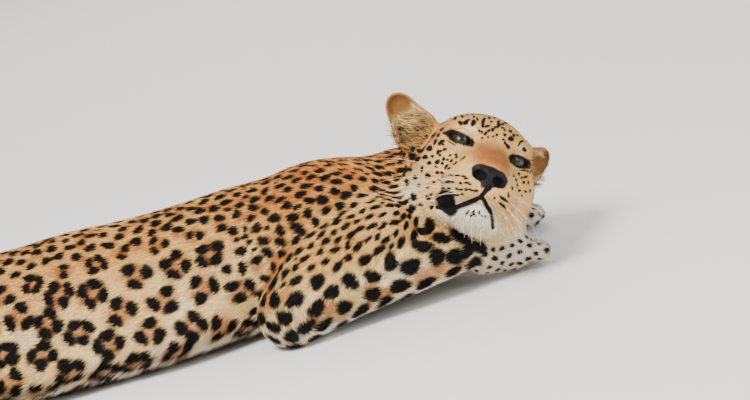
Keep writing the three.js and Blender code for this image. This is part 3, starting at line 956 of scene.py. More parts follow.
# Small solid spots fill the gaps that the rings leave.
CLEAR_OF_SEED = 0.72
CLEAR_OF_FILLER = 0.5
fillers = []
between = bare_of_spots | (z < 4) | (on_head > 0.5)
for i in seeds:
    around = on_skin.near(place[i], pitch[i])
    between[around[flat_distance(i, around) < (pitch[i] * CLEAR_OF_SEED) ** 2]] = True
for i in rng.permutation(total):
    if not between[i]:
        fillers.append(i)
        around = on_skin.near(place[i], pitch[i])
        apart = ((place[around] - place[i]) ** 2).sum(1)
        between[around[apart < (pitch[i] * CLEAR_OF_FILLER) ** 2]] = True

spots = []


def add_spot(mask, centre, up_normal, run, long, wide, turn=0.0, soft=0.2):
    """A spot of one mask, its long axis turned from the run of the hair."""
    side = np.cross(up_normal, run)
    a = run * math.cos(turn) + side * math.sin(turn)
    b = side * math.cos(turn) - run * math.sin(turn)
    spots.append((mask, centre, up_normal, a, b, long, wide, soft, rng.uniform(0, FULL_TURN, 3)))


for i in fillers:
    size = min(pitch[i], 30) * rng.uniform(0.17, 0.24)
    add_spot("dark", place[i], normal[i], lie[i], size * 1.4, size, rng.normal(0, 0.4))
for i in seeds:
    c, n, f = place[i], normal[i], lie[i]
    side = np.cross(n, f)
    p = pitch[i]
    if on_head[i] > 0.5:
        size = p * rng.uniform(0.26, 0.35)
        add_spot("dark", c, n, f, size * 1.4, size * 0.95, rng.normal(0, 0.25))
    elif on_tail[i] > 0.5:
        size = p * rng.uniform(0.30, 0.40)
        add_spot("dark", c, n, f, size, size * 1.15, rng.normal(0, 0.4))
    elif on_paw[i] > 0.5:
        size = p * rng.uniform(0.22, 0.31)
        add_spot("dark", c, n, f, size * 1.2, size, rng.normal(0, 0.5))
    elif neck_share[i] > 0.4:
        size = p * rng.uniform(0.33, 0.41)
        add_spot("dark", c, n, f, size * 1.35, size * 0.85, rng.normal(0, 0.3))
    elif ringed[i] or (on_thigh[i] > 0.5 and z[i] > 90):
        blots = rng.choice([3, 4, 4]) if p > 34 else rng.choice([2, 3])
        start = rng.uniform(0, FULL_TURN)
        gap = rng.uniform(0.0, 0.4)
        reach = 0.34 if blots > 2 else 0.25
        add_spot("rust", c, n, f, p * 0.42, p * 0.34, 0.0, 0.45)
        for k in range(blots):
            angle = start + (FULL_TURN - gap) * k / blots + rng.normal(0, 0.08)
            away = p * rng.uniform(0.94, 1.06)
            middle = c + (f * math.cos(angle) * reach + side * math.sin(angle) * reach * 0.84) * away
            long = p * rng.uniform(0.225, 0.28)
            wide = p * rng.uniform(0.18, 0.22)
            bend = math.atan2(0.8 * math.cos(angle), -math.sin(angle))
            add_spot("dark", middle, n, f, long, wide, bend + rng.normal(0, 0.25))
    elif wrinkled[i] > 0.3:
        size = p * rng.uniform(0.48, 0.62)
        add_spot("dark", c, n, f, size, size * 0.54, rng.normal(-0.05, 0.2))
    else:
        arm = on_arm[i] > 0.5
        size = p * rng.uniform(0.37, 0.45) if arm else p * rng.uniform(0.35, 0.44)
        size *= 1 - 0.25 * shaded_crease[i]
        add_spot("dark", c, n, f, size * 1.18, size * 0.92, rng.normal(0, 0.5))
        if rng.random() < 0.45:
            shift = f * rng.normal(0, 0.2) * p + side * rng.choice([-1, 1]) * 0.5 * p
            add_spot("rust", c + shift, n, f, size, size * 0.8, 0.0, 0.5)


def paint(points, cells):
    """The dark, the rusty and the pale share that the spots give the coat at each point."""
    shares = {mask: np.zeros(len(points)) for mask in ("dark", "rust", "pale")}
    for mask, c, n, a, b, long, wide, soft, phase in spots:
        reach = max(long, wide) * 1.5
        near = cells.near(c, reach)
        q = points[near] - c
        u = q @ a / long
        w = q @ b / wide
        r = np.hypot(u, w)
        t = np.arctan2(w, u)
        r = r * (1 + 0.09 * np.sin(2 * t + phase[0]) + 0.07 * np.sin(3 * t + phase[1]))
        r = r * (1 + 0.03 * np.sin(6 * t + phase[2]))
        m = ramp(1 + soft, 1 - soft, r) * (np.abs(q @ n) < reach * 0.5 + 6)
        shares[mask][near] = np.maximum(shares[mask][near], m)
    return shares


# Marks of the face: rows of dots at the roots of the whiskers, and the spots of the cheeks, the
# brow and the chin, each set by the pixel where it shows in the view, with its half length and
# half width in millimetres and its turn in degrees.
to_frame = np.stack([image_right, image_up, toward])


def seen_at(px, py):
    """The vertex of the skin that shows at a pixel of the photograph."""
    q = (place - CENTRE - aim) @ to_frame.T
    sx = FRAME_WIDTH / 2 + q[:, 0] / PIXEL
    sy = FRAME_HEIGHT / 2 - q[:, 1] / PIXEL
    away = np.hypot(sx - px, sy - py) + 50 * (on_head + on_ear < 0.3)
    close = np.flatnonzero(away < max(2.2, away.min() + 1))
    return close[np.argmax(q[close, 2])]


def mark(px, py, long, wide, turn=0.0, mask="dark", soft=0.2):
    """A mark that shows at a pixel as an ellipse, its long axis turned so many degrees."""
    i = seen_at(px, py)
    c, s = math.cos(math.radians(turn)), math.sin(math.radians(turn))
    run, rise = image_right * c + image_up * s, image_up * c - image_right * s
    phase = rng.uniform(0, FULL_TURN, 3)
    spots.append((mask, place[i], normal[i], run, rise, long, wide, soft, phase))


WHISKER_ROWS = [
    [(448.3, 174.6), (455.6, 173.9), (462.1, 174.6), (465.2, 176.4)],
    [(438, 181.3), (445.3, 182.1), (450.2, 182.9), (457.9, 184), (463.3, 183.7), (467, 184.4), (471, 185.2)],
    [(441, 188.3), (447, 189.2), (454.8, 190.5), (459, 191.3), (464.4, 191.3), (469, 191.5), (472.8, 192)],
    [(454.5, 196.3), (460.4, 195.9), (476.3, 192.5)],
]
for row in WHISKER_ROWS:
    for px, py in row:
        mark(px, py, rng.uniform(2.6, 4.0), rng.uniform(1.4, 2.2), -6)
CHEEK = [
    (432.6, 133.2, 4.4, 2.0, 40), (438.1, 132.9, 3.2, 2.0, 55), (420.3, 141.5, 6.4, 1.8, 40),
    (433.8, 140.7, 4.4, 2.2, 65), (440.1, 140.7, 5.2, 3.0, 45), (443.8, 142.4, 2.0, 1.4, 30),
    (420.9, 148.4, 6.0, 2.4, 60), (428.3, 147.0, 4.6, 3.6, 70), (444.7, 147.3, 3.0, 2.2, 10),
    (436.7, 150.7, 3.6, 2.2, 60), (440.1, 149.3, 2.4, 1.6, 60), (411.7, 155.6, 6.8, 2.2, 62),
    (416.3, 158.8, 5.2, 2.6, 55), (423.7, 155.9, 4.0, 3.2, 30), (431.2, 154.7, 2.6, 2.0, 30),
    (438.7, 153.9, 2.4, 1.8, 70), (449.3, 153.6, 2.4, 1.6, 40), (455.3, 152.5, 2.4, 1.6, 20),
    (442.4, 157.3, 3.2, 2.0, 60), (446.1, 158.5, 2.4, 1.6, 20), (449.9, 159.3, 2.8, 1.8, 60),
    (454.7, 155.9, 2.4, 1.8, 30), (427.8, 161.9, 3.2, 2.8, 0), (435.8, 161.6, 3.6, 3.2, 30),
    (399.9, 160.2, 5.2, 2.0, 80), (404.2, 163.0, 6.0, 2.0, 100), (420.3, 168.0, 4.4, 2.0, 80),
    (408.5, 168.8, 3.2, 3.2, 45), (444.4, 165.7, 4.0, 1.6, 60), (447.3, 167.1, 2.4, 1.4, 30),
    (440.4, 163.6, 2.4, 2.0, 60), (434.4, 168.2, 2.8, 1.6, -20), (461.9, 156.8, 5.5, 1.1, 35),
    (453.9, 161.9, 4.0, 1.3, 40), (435.7, 173.7, 3.0, 2.0, 10), (439.9, 173.0, 2.0, 2.4, 0),
    (426.1, 175.6, 4.2, 3.6, 0), (426.1, 197.4, 3.4, 3.2, 0), (430.0, 207.4, 2.8, 3.0, 0),
    (412.3, 195.9, 4.2, 5.6, 0), (417.5, 184.5, 2.6, 2.2, 0), (426.0, 186.8, 2.8, 2.0, 0),
    (432.0, 182.0, 2.4, 1.6, 0), (430.0, 193.0, 2.6, 1.8, 0), (407.8, 208.0, 4.0, 6.0, 0),
    (414.0, 176.5, 3.0, 3.4, 0), (405.5, 182.0, 3.2, 4.6, 0), (419.0, 205.0, 3.4, 2.6, 0),
    (403.0, 172.5, 2.6, 4.8, 0), (413.0, 148.5, 2.2, 4.0, -25), (426.0, 134.0, 2.4, 3.4, -40),
]
BROW = [
    (465.9, 120.2, 4.2, 3.6, 50), (459.9, 120.8, 4.4, 2.5, -50), (454.8, 116.0, 3.6, 2.2, 40),
    (469.1, 117.3, 1.9, 1.6, 0), (474.2, 120.5, 4.6, 3.6, 60), (474.6, 114.1, 1.9, 1.9, 0),
    (485.1, 118.6, 5.0, 2.6, 65), (483.2, 123.1, 3.4, 2.2, 60), (488.9, 124.3, 4.0, 2.0, 15),
    (482.5, 130.1, 1.9, 2.3, 0), (479.3, 128.8, 1.6, 2.3, 0), (486.7, 131.7, 2.7, 2.2, 30),
    (490.5, 129.1, 3.1, 1.8, 30), (494.3, 127.8, 2.2, 2.7, 0), (496.6, 125.6, 1.7, 2.3, 0),
    (501.0, 122.4, 3.1, 2.7, 50), (499.1, 124.7, 2.5, 1.8, 0), (500.1, 119.2, 2.5, 1.8, 30),
    (505.5, 122.4, 2.2, 2.0, 0), (504.2, 125.6, 2.0, 1.7, 0), (506.4, 127.8, 1.7, 1.7, 0),
    (512.8, 129.4, 2.7, 2.1, -40), (516.0, 133.3, 1.9, 2.7, 0), (506.1, 132.9, 2.7, 1.9, -30),
    (499.1, 133.3, 2.0, 2.0, 0), (494.6, 134.5, 1.6, 1.6, 0), (489.5, 135.2, 1.5, 1.5, 0),
    (482.8, 135.8, 1.7, 1.7, 0), (504.5, 137.4, 1.9, 1.7, 0), (513.1, 137.1, 3.8, 3.6, 0),
    (507.4, 141.6, 1.6, 3.0, 0), (510.3, 146.0, 4.2, 2.6, -60), (519.8, 133.3, 1.7, 1.7, 0),
    (524.6, 139.3, 2.0, 2.0, 0), (527.2, 148.9, 3.6, 2.6, -60), (522.1, 142.8, 4.0, 1.4, 60),
    (493.0, 119.5, 2.2, 1.6, 20), (478.5, 117.0, 1.8, 2.6, 10), (491.5, 115.8, 2.4, 1.6, -10),
    (497.0, 114.8, 1.8, 1.5, 0), (509.5, 118.5, 2.2, 1.8, 0), (463.5, 114.5, 2.4, 1.6, 10),
]
FAR_CHEEK = [
    (519.5, 185.2, 2.6, 2.5, 0), (521.4, 191.0, 2.8, 1.8, 0), (528.0, 192.0, 2.2, 2.0, 0),
    (518.3, 179.8, 2.0, 2.0, 0), (526.4, 182.5, 1.8, 2.4, 0), (528.0, 175.2, 3.0, 1.9, 20),
    (523.7, 176.4, 2.0, 1.7, 0), (521.4, 173.0, 1.9, 2.3, 0), (515.3, 174.5, 1.5, 2.0, 0),
    (531.0, 182.0, 1.5, 2.7, 0), (509.5, 195.0, 1.5, 3.4, 0), (493.0, 199.7, 1.5, 1.7, 0),
    (524.0, 196.3, 1.5, 1.5, 0), (533.0, 190.6, 1.5, 2.3, 0), (503.7, 200.2, 7.5, 1.9, -38),
    (501.0, 207.0, 7.0, 1.7, -38), (513.0, 187.0, 1.5, 3.0, 10), (531.0, 170.5, 1.6, 2.0, 0),
]
CHIN = [
    (464.4, 213.1, 1.8, 1.6, 0), (470.9, 213.9, 2.0, 1.8, 0), (468.6, 217.7, 1.7, 1.9, 0),
    (475.5, 214.6, 1.6, 1.9, 0), (482.8, 215.8, 1.7, 1.6, 0), (486.3, 216.2, 1.5, 1.8, 0),
    (472.5, 209.5, 2.4, 1.4, 0), (479.5, 211.0, 1.6, 2.2, 0), (467.0, 209.8, 2.2, 1.3, 15),
]
SPREAD = 1.12
for group in (CHEEK, BROW, FAR_CHEEK, CHIN):
    for px, py, long, wide, turn in group:
        mark(px, py, long * SPREAD, wide * SPREAD, turn)

# The black patch at the corner of the mouth, the streaks at the corners of the eyes and the
# creases above and under them.
mark(444.5, 203.0, 17.5, 14.0, -72, soft=0.12)
mark(451.5, 209.5, 9, 6.0, 38, soft=0.15)
for px, py, long, wide, turn in (
    (405, 127.2, 13, 1.1, -3), (398, 133.4, 4, 1.4, 10),
    (446.4, 131.3, 5.0, 3.0, -25), (441.0, 127.6, 3.8, 2.2, 45), (470.6, 142.2, 4.6, 3.2, -45),
    (451.0, 141.2, 8.5, 1.0, -31), (457.5, 129.4, 7.0, 0.8, -14), (525.6, 168.7, 8.0, 1.1, -4),
    (531.0, 165.0, 3.4, 2.0, -35), (509.0, 160.5, 3.0, 2.4, 50), (534.0, 171.0, 1.2, 3.6, -15),
):
    mark(px, py, long, wide, turn)
mark(470.5, 216.5, 34, 21, 8, mask="pale", soft=0.12)
TAIL_BARS = 13
painted = paint(place, on_skin)
under_lip = painted["pale"] * ramp(-88, -94, hz)
pale = np.maximum(pale, under_lip)
dark = np.clip(painted["dark"], 0, 1) * (1 - bridge * on_head)
rust = np.maximum(rust, painted["rust"] * 0.7)
ring = ramp(0.45, 0.62, tail_run) * ramp(-0.15, 0.25, np.sin(tail_run * FULL_TURN * TAIL_BARS)) * on_tail
dark = np.maximum(dark, ring * ramp(6, 20, z))
dark = np.maximum(dark, on_tail * ramp(0.95, 0.97, tail_run))
lip_black = ramp(4.2, 2.9, lip) * ramp(0, 24, hx) * on_head
dark = np.maximum(dark, lip_black * ramp(-60, -66, hz))
dark = np.maximum(dark, 0.7 * ramp(9, 3, lip) * under_lip * ramp(26, 42, hx))
# Painted shade: the insides of the nostrils are painted black, standing in for the deep shade in them.
nostril = np.full(total, FAR)
for cut in cuts[2:4]:
    nostril[near_head] = np.minimum(nostril[near_head], cut.distance(place[near_head]))
dark = np.maximum(dark, ramp(3.2, 1.8, nostril))
dark = np.maximum(dark, ramp(8.0, 5.5, rim) * on_head)
dark = np.maximum(dark, behind_ear * (1 - ramp(13, 7, np.abs(ear_height * 66 - 28))) * 0.95)


def keep(mesh, name, values):
    """Stores a mask on a mesh, where its material finds it."""
    layer = mesh.attributes.new(name, "FLOAT", "POINT")
    layer.data.foreach_set("value", np.ascontiguousarray(values, np.float32))


for name, values in (
    ("pale", pale), ("rust", rust), ("dark", dark),
    ("leather", leather), ("grey", grey), ("brown", brown),
):
    keep(skin_mesh, name, values)
keep(skin_mesh, "strand", np.full(total, 0.45))


# Colours of the coat: gold running to cream, warm in the rosettes, black on the spots.
def tint(red, green, blue):
    """A colour as a paint chart gives it, from 0 to 255, in the renderer's own scale."""
    return tuple(((c / 255 + 0.055) / 1.055) ** 2.4 for c in (red, green, blue)) + (1,)


GOLD = tint(208, 138, 68)
TAN = tint(230, 180, 106)
CREAM = tint(244, 214, 152)
WHITE = tint(250, 244, 224)
RUST = tint(182, 106, 52)
EAR_BROWN_AND_SHADE = tint(112, 70, 38)
BLACK = tint(5, 3, 3)
GREY = tint(196, 188, 182)
LEATHER = tint(16, 13, 14)
coat_finish = Finish("coat")
stops = [(0.0, GOLD), (0.35, TAN), (0.75, CREAM), (1.0, WHITE)]
pale_mask = coat_finish.mask("pale", 2)
ground = coat_finish.node("ShaderNodeValToRGB", {"stops": stops}, {"Fac": pale_mask})
ground = coat_finish.mix(coat_finish.mask("grey", 2) * 0.5, ground, GREY)
ground = coat_finish.mix(coat_finish.mask("rust", 2), ground, RUST)
# Brown in the ears: partly the hair's own colour and partly painted shade in the cup.
ground = coat_finish.mix(coat_finish.mask("brown", 2), ground, EAR_BROWN_AND_SHADE)
strand = coat_finish.mask("strand", 2)
light_and_dark = coat_finish.mix(strand, (0.66, 0.60, 0.54, 1), (1.10, 1.09, 1.07, 1))
multiply = {"data_type": "RGBA", "blend_type": "MULTIPLY"}
shade = coat_finish.node("ShaderNodeMix", multiply, {0: 1.0, 6: ground, 7: light_and_dark}, 2)
spotted = coat_finish.mix(coat_finish.mask("dark", 2), shade, BLACK)
bare = coat_finish.mask("leather", 2)
leather_tone = coat_finish.mix(coat_finish.mask("dark", 2), LEATHER, BLACK)
coat_finish.set(
    Base_Color=coat_finish.mix(bare, spotted, leather_tone),
    Roughness=0.78 - bare * (1 - coat_finish.mask("dark", 2)) * 0.28,
    Specular_IOR_Level=0.2,
)
grain = coat_finish.noise(900.0, 3.0)
coat_finish.bump(grain, 0.25, 0.0008)
skin_mesh.materials.append(coat_finish.material)
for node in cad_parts:
    if not node.startswith("eye"):
        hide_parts(node)
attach(skin, "root")

# Coat: tufts of hair, each a slender closed spike rooted in the skin and laid along it, short
# on the face and the feet and long on the belly, the chin and in the ears.
under = ramp(60, 22, z) * (share("trunk") + 0.6 * on_thigh)
length = 10 + 9 * under
face_length = 4.2 + 3.5 * ramp(0, -60, hx) + 3 * chin + 2 * ramp(-60, -95, hz)
length = length * (1 - on_head) + on_head * face_length
length = length * (1 - on_paw) + on_paw * 6
length = length * (1 - on_ear) + on_ear * (3.6 + 12 * inside_ear * ramp(0.75, 0.4, ear_height))
near_lip = ramp(9, 3, lip) * on_head
length = length * (1 - 0.74 * near_lip) + on_tail * 2
lift = 0.20 + 0.16 * under + 0.12 * on_head * chin
lift = lift + 0.18 * inside_ear
width = np.clip(0.18 * length, 0.75, 2.2) * (1 - 0.45 * inside_ear)
space = np.clip(0.235 * length, 1.1, 2.45) * (1 - 0.2 * inside_ear)
bald = np.maximum(leather, ramp(2.0, 0.6, rim))
corners = np.empty(len(skin_mesh.loops), int)
skin_mesh.loops.foreach_get("vertex_index", corners)
sizes = np.empty(len(skin_mesh.polygons), int)
skin_mesh.polygons.foreach_get("loop_total", sizes)
starts = np.concatenate([[0], np.cumsum(sizes)[:-1]])
faces = np.stack([corners[starts], corners[starts + 1], corners[starts + 2], corners[starts + sizes - 1]], 1)
p0, p1, p2, p3 = (place[faces[:, k]] for k in range(4))
area = np.linalg.norm(np.cross(p1 - p0, p2 - p0), axis=1) / 2
area += np.where(sizes == 4, np.linalg.norm(np.cross(p2 - p0, p3 - p0), axis=1) / 2, 0)
middle_space = space[faces].mean(1)
wanted = area / middle_space**2 * (1 - bald[faces].mean(1))
wanted[place[faces][:, :, 2].max(1) < 2.5] = 0
number = np.floor(wanted + rng.random(len(wanted))).astype(int)
face_of = np.repeat(np.arange(len(number)), number)
s = rng.random(len(face_of))
t = rng.random(len(face_of))
blend4 = np.stack([(1 - s) * (1 - t), s * (1 - t), s * t, (1 - s) * t], 1)
four = faces[face_of]


def at_root(values):
    if values.ndim == 1:
        return (values[four] * blend4).sum(1)
    return (values[four] * blend4[:, :, None]).sum(1)


root = at_root(place)
root_normal = at_root(normal)
root_normal /= np.linalg.norm(root_normal, axis=1)[:, None]
root_lie = laid_flat(at_root(lie), root_normal)
tuft_length = at_root(length) * rng.uniform(0.75, 1.25, len(root))
tuft_middle = root + root_lie * tuft_length[:, None] * 0.4
root_paint = paint(tuft_middle, Cells(tuft_middle))
root_dark = np.maximum(root_paint["dark"] * (1 - at_root(bridge * on_head)), 0)
extra = np.where(painted["dark"] < dark, dark, 0)
root_dark = np.maximum(root_dark, at_root(extra))
# The tufts take the skin's masks at their roots. Some of the pale hairs in each ear cup are made brown as
# well, partly their own colour and partly painted shade.
root_masks = {
    "pale": at_root(pale),
    "rust": np.maximum(root_paint["rust"] * 0.7, at_root(rust)),
    "brown": np.clip(at_root(brown) + 0.7 * at_root(hairy) * (rng.random(len(root)) > 0.62), 0, 1),
    "dark": root_dark,
    "leather": np.zeros(len(root)),
    "grey": at_root(grey),
    "strand": np.clip(rng.normal(0.62, 0.22, len(root)), 0, 1),
}
count_of = len(root)
tuft_width = at_root(width) * rng.uniform(0.8, 1.2, count_of)
tuft_lift = at_root(lift) * rng.uniform(0.6, 1.4, count_of)
aside = np.cross(root_normal, root_lie)
sway = rng.normal(0, 0.13, count_of) + 0.12 * wander(root, 30, 5)
heading = root_lie * np.cos(sway)[:, None] + aside * np.sin(sway)[:, None]
heading = heading * np.sqrt(1 - tuft_lift**2)[:, None] + root_normal * tuft_lift[:, None]
aside = np.cross(root_normal, heading)
aside /= np.linalg.norm(aside, axis=1)[:, None]
ROOT_DEPTH = 0.7
OFF_FLOOR = 0.3
sunk = root - root_normal * ROOT_DEPTH
half = tuft_width[:, None] / 2
spike = np.stack([
    sunk + aside * half,
    sunk - aside * half,
    sunk + root_normal * half * 0.9,
    root + heading * tuft_length[:, None],
], 1)
spike[:, :, 2] = np.maximum(spike[:, :, 2], OFF_FLOOR)
SPIKE_FACES = np.array([(0, 1, 3), (1, 2, 3), (2, 0, 3), (0, 2, 1)])


# A flat chart of each part of the skin: turned round the part's own axis, or round the middle
# of the skull. The inside of an ear has a chart of its own.
AXES = {"trunk": (v(-250, 0, 100), along), "neck": (NAPE, unit(NAPE - v(110, 0, 120)))}
for name, (shoulder, elbow, wrist, heel, tip) in FORE.items():
    AXES["upper arm " + name] = (elbow, unit(elbow - shoulder))
    AXES["forearm " + name] = (wrist, unit(wrist - elbow))
    AXES["forepaw " + name] = (heel, unit(tip - heel))
for name, (hip, knee, hock, heel, tip) in HIND.items():
    AXES["thigh " + name] = (hip, unit(knee - hip))
    AXES["shank " + name] = (knee, unit(hock - knee))
    AXES["hindpaw " + name] = (heel, unit(tip - heel))
for name, (ear_root, axes) in ear_axes.items():
    AXES["ear " + name] = (ear_root, axes[2])
AXES["tail"] = (v(-830, 40, 24), along)
part_names = list(weights)
part_of = np.argmax(np.stack([at_root(weights[name]) for name in part_names]), 0)
in_cup = at_root(inside_ear) > 0.5


def chart(points, part):
    """Where a part's points lie on its own chart, in two numbers."""
    if part == "skull":
        q = (points - head(-20, 0, -40)) @ HEAD_AXES.T
        return np.stack([np.arctan2(q[:, 1], q[:, 0]), q[:, 2] / np.linalg.norm(q, axis=1)], 1)
    if part == "tail":
        nearest = np.argmin(((points[:, None] - tail_line[None]) ** 2).sum(-1), 1)
        q = points - tail_line[nearest]
        ahead = tail_line[np.minimum(nearest + 1, TAIL_STEPS)] - tail_line[np.maximum(nearest - 1, 0)]
        out = np.cross(ahead / np.linalg.norm(ahead, axis=1)[:, None], v(0, 0, 1))
        step = (q * ahead).sum(1) / np.linalg.norm(ahead, axis=1)
        return np.stack([np.arctan2(q[:, 2], (q * out).sum(1)), nearest * 44.0 + step], 1)
    origin, axis = AXES[part]
    b = unit(np.cross(axis, v(0.1, 0.2, 1)))
    c = np.cross(axis, b)
    q = points - origin
    return np.stack([np.arctan2(q @ c, q @ b), q @ axis], 1)


PATCH = 0.003
CELL_EDGE = 0.01
CELL_FILL = 0.96


def unwrap(chosen):
    """A cell of the square for each part that a coat piece covers, with that part's chart in it."""
    label = part_of[chosen] * 2 + in_cup[chosen]
    found = np.unique(label)
    columns = math.ceil(math.sqrt(len(found)))
    rows = math.ceil(len(found) / columns)
    uv = np.zeros((len(chosen), 2))
    for k, mine in enumerate(found):
        here = label == mine
        flat = chart(root[chosen[here]], part_names[mine // 2])
        flat = (flat - flat.min(0)) / np.maximum(np.ptp(flat, axis=0), 1e-6)
        cell = np.array([k % columns, k // columns])
        uv[here] = (cell + CELL_EDGE + flat * CELL_FILL) / (columns, rows)
    return uv


def coat_piece(name, chosen):
    """One piece of the coat, made of the chosen tufts."""
    n = len(chosen)
    mesh = bpy.data.meshes.new(name)
    mesh.vertices.add(n * 4)
    mesh.loops.add(n * 12)
    mesh.polygons.add(n * 4)
    mesh.vertices.foreach_set("co", ((spike[chosen] - CENTRE) * MM).ravel().astype(np.float32))
    index = (np.arange(n)[:, None, None] * 4 + SPIKE_FACES[None]).ravel()
    mesh.loops.foreach_set("vertex_index", index.astype(np.int32))
    mesh.polygons.foreach_set("loop_start", np.arange(0, n * 12, 3, dtype=np.int32))
    mesh.update(calc_edges=True)
    for key, values in root_masks.items():
        keep(mesh, key, np.repeat(values[chosen], 4))
    uv = mesh.uv_layers.new(name="OFBake")
    patch = np.array([(0, 0), (1, 0), (0, 1), (1, 1)]) * PATCH
    spread = (unwrap(chosen)[:, None] + patch[None]).reshape(-1, 2)
    uv.data.foreach_set("uv", spread[index].astype(np.float32).ravel())
    mesh.materials.append(coat_finish.material)
    made = linked(name, mesh)
    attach(made, "root")


MOST_TUFTS = 48000
headed = at_root(on_head + on_ear) > 0.5
limbed = (at_root(on_arm + on_paw + on_thigh + on_tail) > 0.5) & ~headed
bodied = ~headed & ~limbed
for name, group in (("coat_head", headed), ("coat_limbs", limbed), ("coat_body", bodied)):
    chosen = np.flatnonzero(group)
    chosen = chosen[np.argsort(root[chosen, 0])]
    for k, run in enumerate(np.array_split(chosen, max(1, -(-len(chosen) // MOST_TUFTS)))):
        coat_piece(f"{name}_{k + 1}", run)


# Eyes: glossy balls of the real size under the lids, with an olive iris streaked from a small
# round pupil to a dark edge, and painted shadow of the upper lid darkening the top of each ball.
IRIS_RADIUS = 11.5
BALL_RADIUS = 16.7
CORNEA_RISE = 0.9
AROUND = 64
PUPIL_SHARE = 0.27
eye_finish = Finish("eye")
fibres = eye_finish.noise(1.0, 3.0, eye_finish.mask("fibre", 1))
ring_share = eye_finish.mask("ring", 2) + fibres * 0.08 - 0.04
iris_stops = [
    (0.0, tint(6, 6, 6)),
    (PUPIL_SHARE * 0.5, tint(6, 6, 6)),
    (PUPIL_SHARE * 0.5 + 0.02, tint(48, 48, 22)),
    (0.33, tint(52, 60, 32)),
    (0.43, tint(28, 36, 20)),
    (0.48, tint(14, 16, 11)),
    (0.54, tint(46, 30, 22)),
]
iris = eye_finish.node("ShaderNodeValToRGB", {"stops": iris_stops}, {"Fac": ring_share * 0.5})
streak = eye_finish.mix(fibres, (0.55, 0.55, 0.5, 1), (1.35, 1.35, 1.25, 1))
iris = eye_finish.node("ShaderNodeMix", multiply, {0: 1.0, 6: iris, 7: streak}, 2)
# Painted shadow: the top of the eye is darkened almost to black, standing in for the shadow of the upper
# lid.
iris = eye_finish.mix(eye_finish.mask("lash", 2), iris, tint(8, 8, 7))
eye_finish.set(
    Base_Color=iris,
    Roughness=0.3,
    Specular_IOR_Level=0.25,
    Coat_Weight=0.22,
    Coat_Roughness=0.08,
)
for name, (centre, axes) in eyes.items():
    gaze = unit(axes[0] * 0.6 + FORWARD * 0.3 + toward * 0.25)
    level = unit(np.cross(UP, gaze))
    upward = np.cross(gaze, level)
    polar = np.concatenate([np.linspace(0, 0.9, 34), np.linspace(0.95, math.pi, 22)])
    turns = np.linspace(0, 2 * math.pi, AROUND, endpoint=False)
    bulge = BALL_RADIUS + CORNEA_RISE * ramp(0.75, 0.0, polar)
    rings = []
    fibre = []
    for k, angle in enumerate(polar):
        up_down = math.sin(angle) * np.sin(turns)
        rays = np.stack([np.full(AROUND, math.cos(angle)), math.sin(angle) * np.cos(turns), up_down], 1)
        rings.append(centre + bulge[k] * (rays @ np.stack([gaze, level, upward])))
        outward = np.full(AROUND, angle * 2.2)
        fibre.append(np.stack([np.cos(turns) * 7, np.sin(turns) * 7, outward], 1))
    eye_mesh = bpy.data.meshes.new("eyeball_" + name)
    eye_bm = bmesh.new()
    rows = [[eye_bm.verts.new(p) for p in (ring - CENTRE) * MM] for ring in rings]
    for a, b in zip(rows[:-1], rows[1:]):
        for k in range(AROUND):
            eye_bm.faces.new([a[k], b[k], b[(k + 1) % AROUND], a[(k + 1) % AROUND]])
    eye_bm.verts.index_update()
    eye_bm.to_mesh(eye_mesh)
    eye_bm.free()
    keep(eye_mesh, "ring", np.repeat(polar * EYE_RADIUS / IRIS_RADIUS, AROUND))
    # Painted shadow of the upper lid: it rises from just below the middle of the ball to its top.
    risen = (np.concatenate(rings) - centre) @ axes[2]
    keep(eye_mesh, "lash", ramp(-1.0, 3.6, risen) * 0.92)
    layer = eye_mesh.attributes.new("fibre", "FLOAT_VECTOR", "POINT")
    layer.data.foreach_set("vector", np.concatenate(fibre).astype(np.float32).ravel())
    clean = bmesh.new()
    clean.from_mesh(eye_mesh)
    bmesh.ops.remove_doubles(clean, verts=clean.verts, dist=1e-6)
    bmesh.ops.recalc_face_normals(clean, faces=clean.faces)
    clean.to_mesh(eye_mesh)
    clean.free()
    eye_mesh.polygons.foreach_set("use_smooth", np.ones(len(eye_mesh.polygons), bool))
    eye_mesh.materials.append(eye_finish.material)
    eyeball = linked("eyeball_" + name, eye_mesh)
    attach(eyeball, "root")
    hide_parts("eye_" + name)

# Whiskers: stiff white bristles, thick at the root and drawn out to a point, in rows on the
# pads of the muzzle, with a few over each eye and under the chin. The muzzle's are in pairs, one
# on either side.
whisker_finish = Finish("whisker")
whisker_tone = whisker_finish.noise(60.0)
whisker_finish.set(
    Base_Color=whisker_finish.mix(whisker_tone, tint(236, 230, 220), tint(252, 250, 246)), Roughness=0.35
)
WHISKER_STEPS = 9
WHISKER_SIDES = 5
WHISKER_TIP = 0.06
whisker_points = []
whisker_faces = []


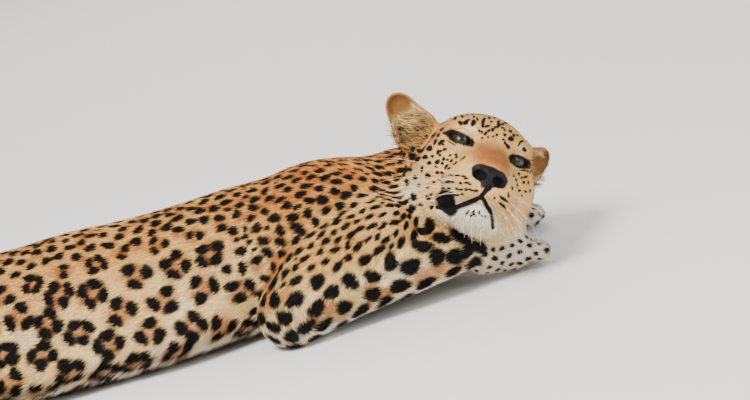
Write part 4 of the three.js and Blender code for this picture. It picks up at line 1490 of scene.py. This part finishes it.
def whisker(i, direction, length, thick, sag):
    """One bristle from a vertex of the skin, bending down and back as it runs out."""
    start = place[i] - normal[i] * 1.5
    direction = unit(direction)
    base = len(whisker_points)
    for k in range(WHISKER_STEPS + 1):
        s = k / WHISKER_STEPS
        centre = start + direction * length * s + (sag[0] * s * s) * UP + (sag[1] * s * s) * FORWARD
        a = unit(np.cross(direction, UP))
        b = np.cross(direction, a)
        r = thick * (1 - s) ** 0.8 + WHISKER_TIP
        centre[2] = max(centre[2], 2 * OFF_FLOOR + r)
        for j in range(WHISKER_SIDES):
            angle = 2 * math.pi * j / WHISKER_SIDES
            p = centre + (a * math.cos(angle) + b * math.sin(angle)) * r
            whisker_points.append((p - CENTRE) * MM)
    for k in range(WHISKER_STEPS):
        for j in range(WHISKER_SIDES):
            a, b = base + k * WHISKER_SIDES, base + (k + 1) * WHISKER_SIDES
            m = (j + 1) % WHISKER_SIDES
            whisker_faces.append((a + j, a + m, b + m, b + j))
    last = base + WHISKER_STEPS * WHISKER_SIDES
    whisker_faces.append(tuple(base + j for j in reversed(range(WHISKER_SIDES))))
    whisker_faces.append(tuple(last + j for j in range(WHISKER_SIDES)))


def mirror(i):
    """The vertex of the skin across the head's middle from another."""
    flip = HEAD_AXES.T @ np.diag([1, -1, 1]) @ HEAD_AXES
    other = BETWEEN_EYES + flip @ (place[i] - BETWEEN_EYES)
    return int(np.argmin(((place - other) ** 2).sum(1)))


for r, row in enumerate(WHISKER_ROWS):
    for k, (px, py) in enumerate(row):
        if (k + r) % 2:
            continue
        i = seen_at(px, py)
        run = 108 - 9 * k + rng.normal(0, 9)
        for side, j in ((-1, i), (1, mirror(i))):
            way = np.array([-0.28 + rng.normal(0, 0.05), side * 0.92, 0.20 - 0.13 * r + rng.normal(0, 0.05)])
            whisker(j, way @ HEAD_AXES, run * (1 if side < 0 else 0.8), 0.2, (-26 - 7 * r, -16))
BROWS = [(467, 111, -0.55, 0.75, 42), (471, 111, -0.25, 0.9, 36), (475, 110, 0.05, 0.95, 30)]
BROWS += [(521, 133, 0.5, 0.85, 40), (526, 137, 0.75, 0.6, 44), (530, 142, 0.95, 0.2, 42)]
for px, py, sideways, upwards, run in BROWS:
    i = seen_at(px, py)
    way = image_right * sideways + image_up * upwards + toward * 0.3
    whisker(i, way, run * 0.85, 0.3, (-5, -6))
for px, py in ((458, 221), (470, 228), (480, 230)):
    way = -image_up + image_right * rng.normal(0.0, 0.2) + toward * 0.4
    whisker(seen_at(px, py), way, 26, 0.25, (-2, 3))
whisker_mesh = bpy.data.meshes.new("whiskers")
whisker_mesh.from_pydata([tuple(p) for p in whisker_points], [], whisker_faces)
whisker_mesh.polygons.foreach_set("use_smooth", np.ones(len(whisker_mesh.polygons), bool))
whisker_mesh.materials.append(whisker_finish.material)
whiskers = linked("whiskers", whisker_mesh)
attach(whiskers, "root")
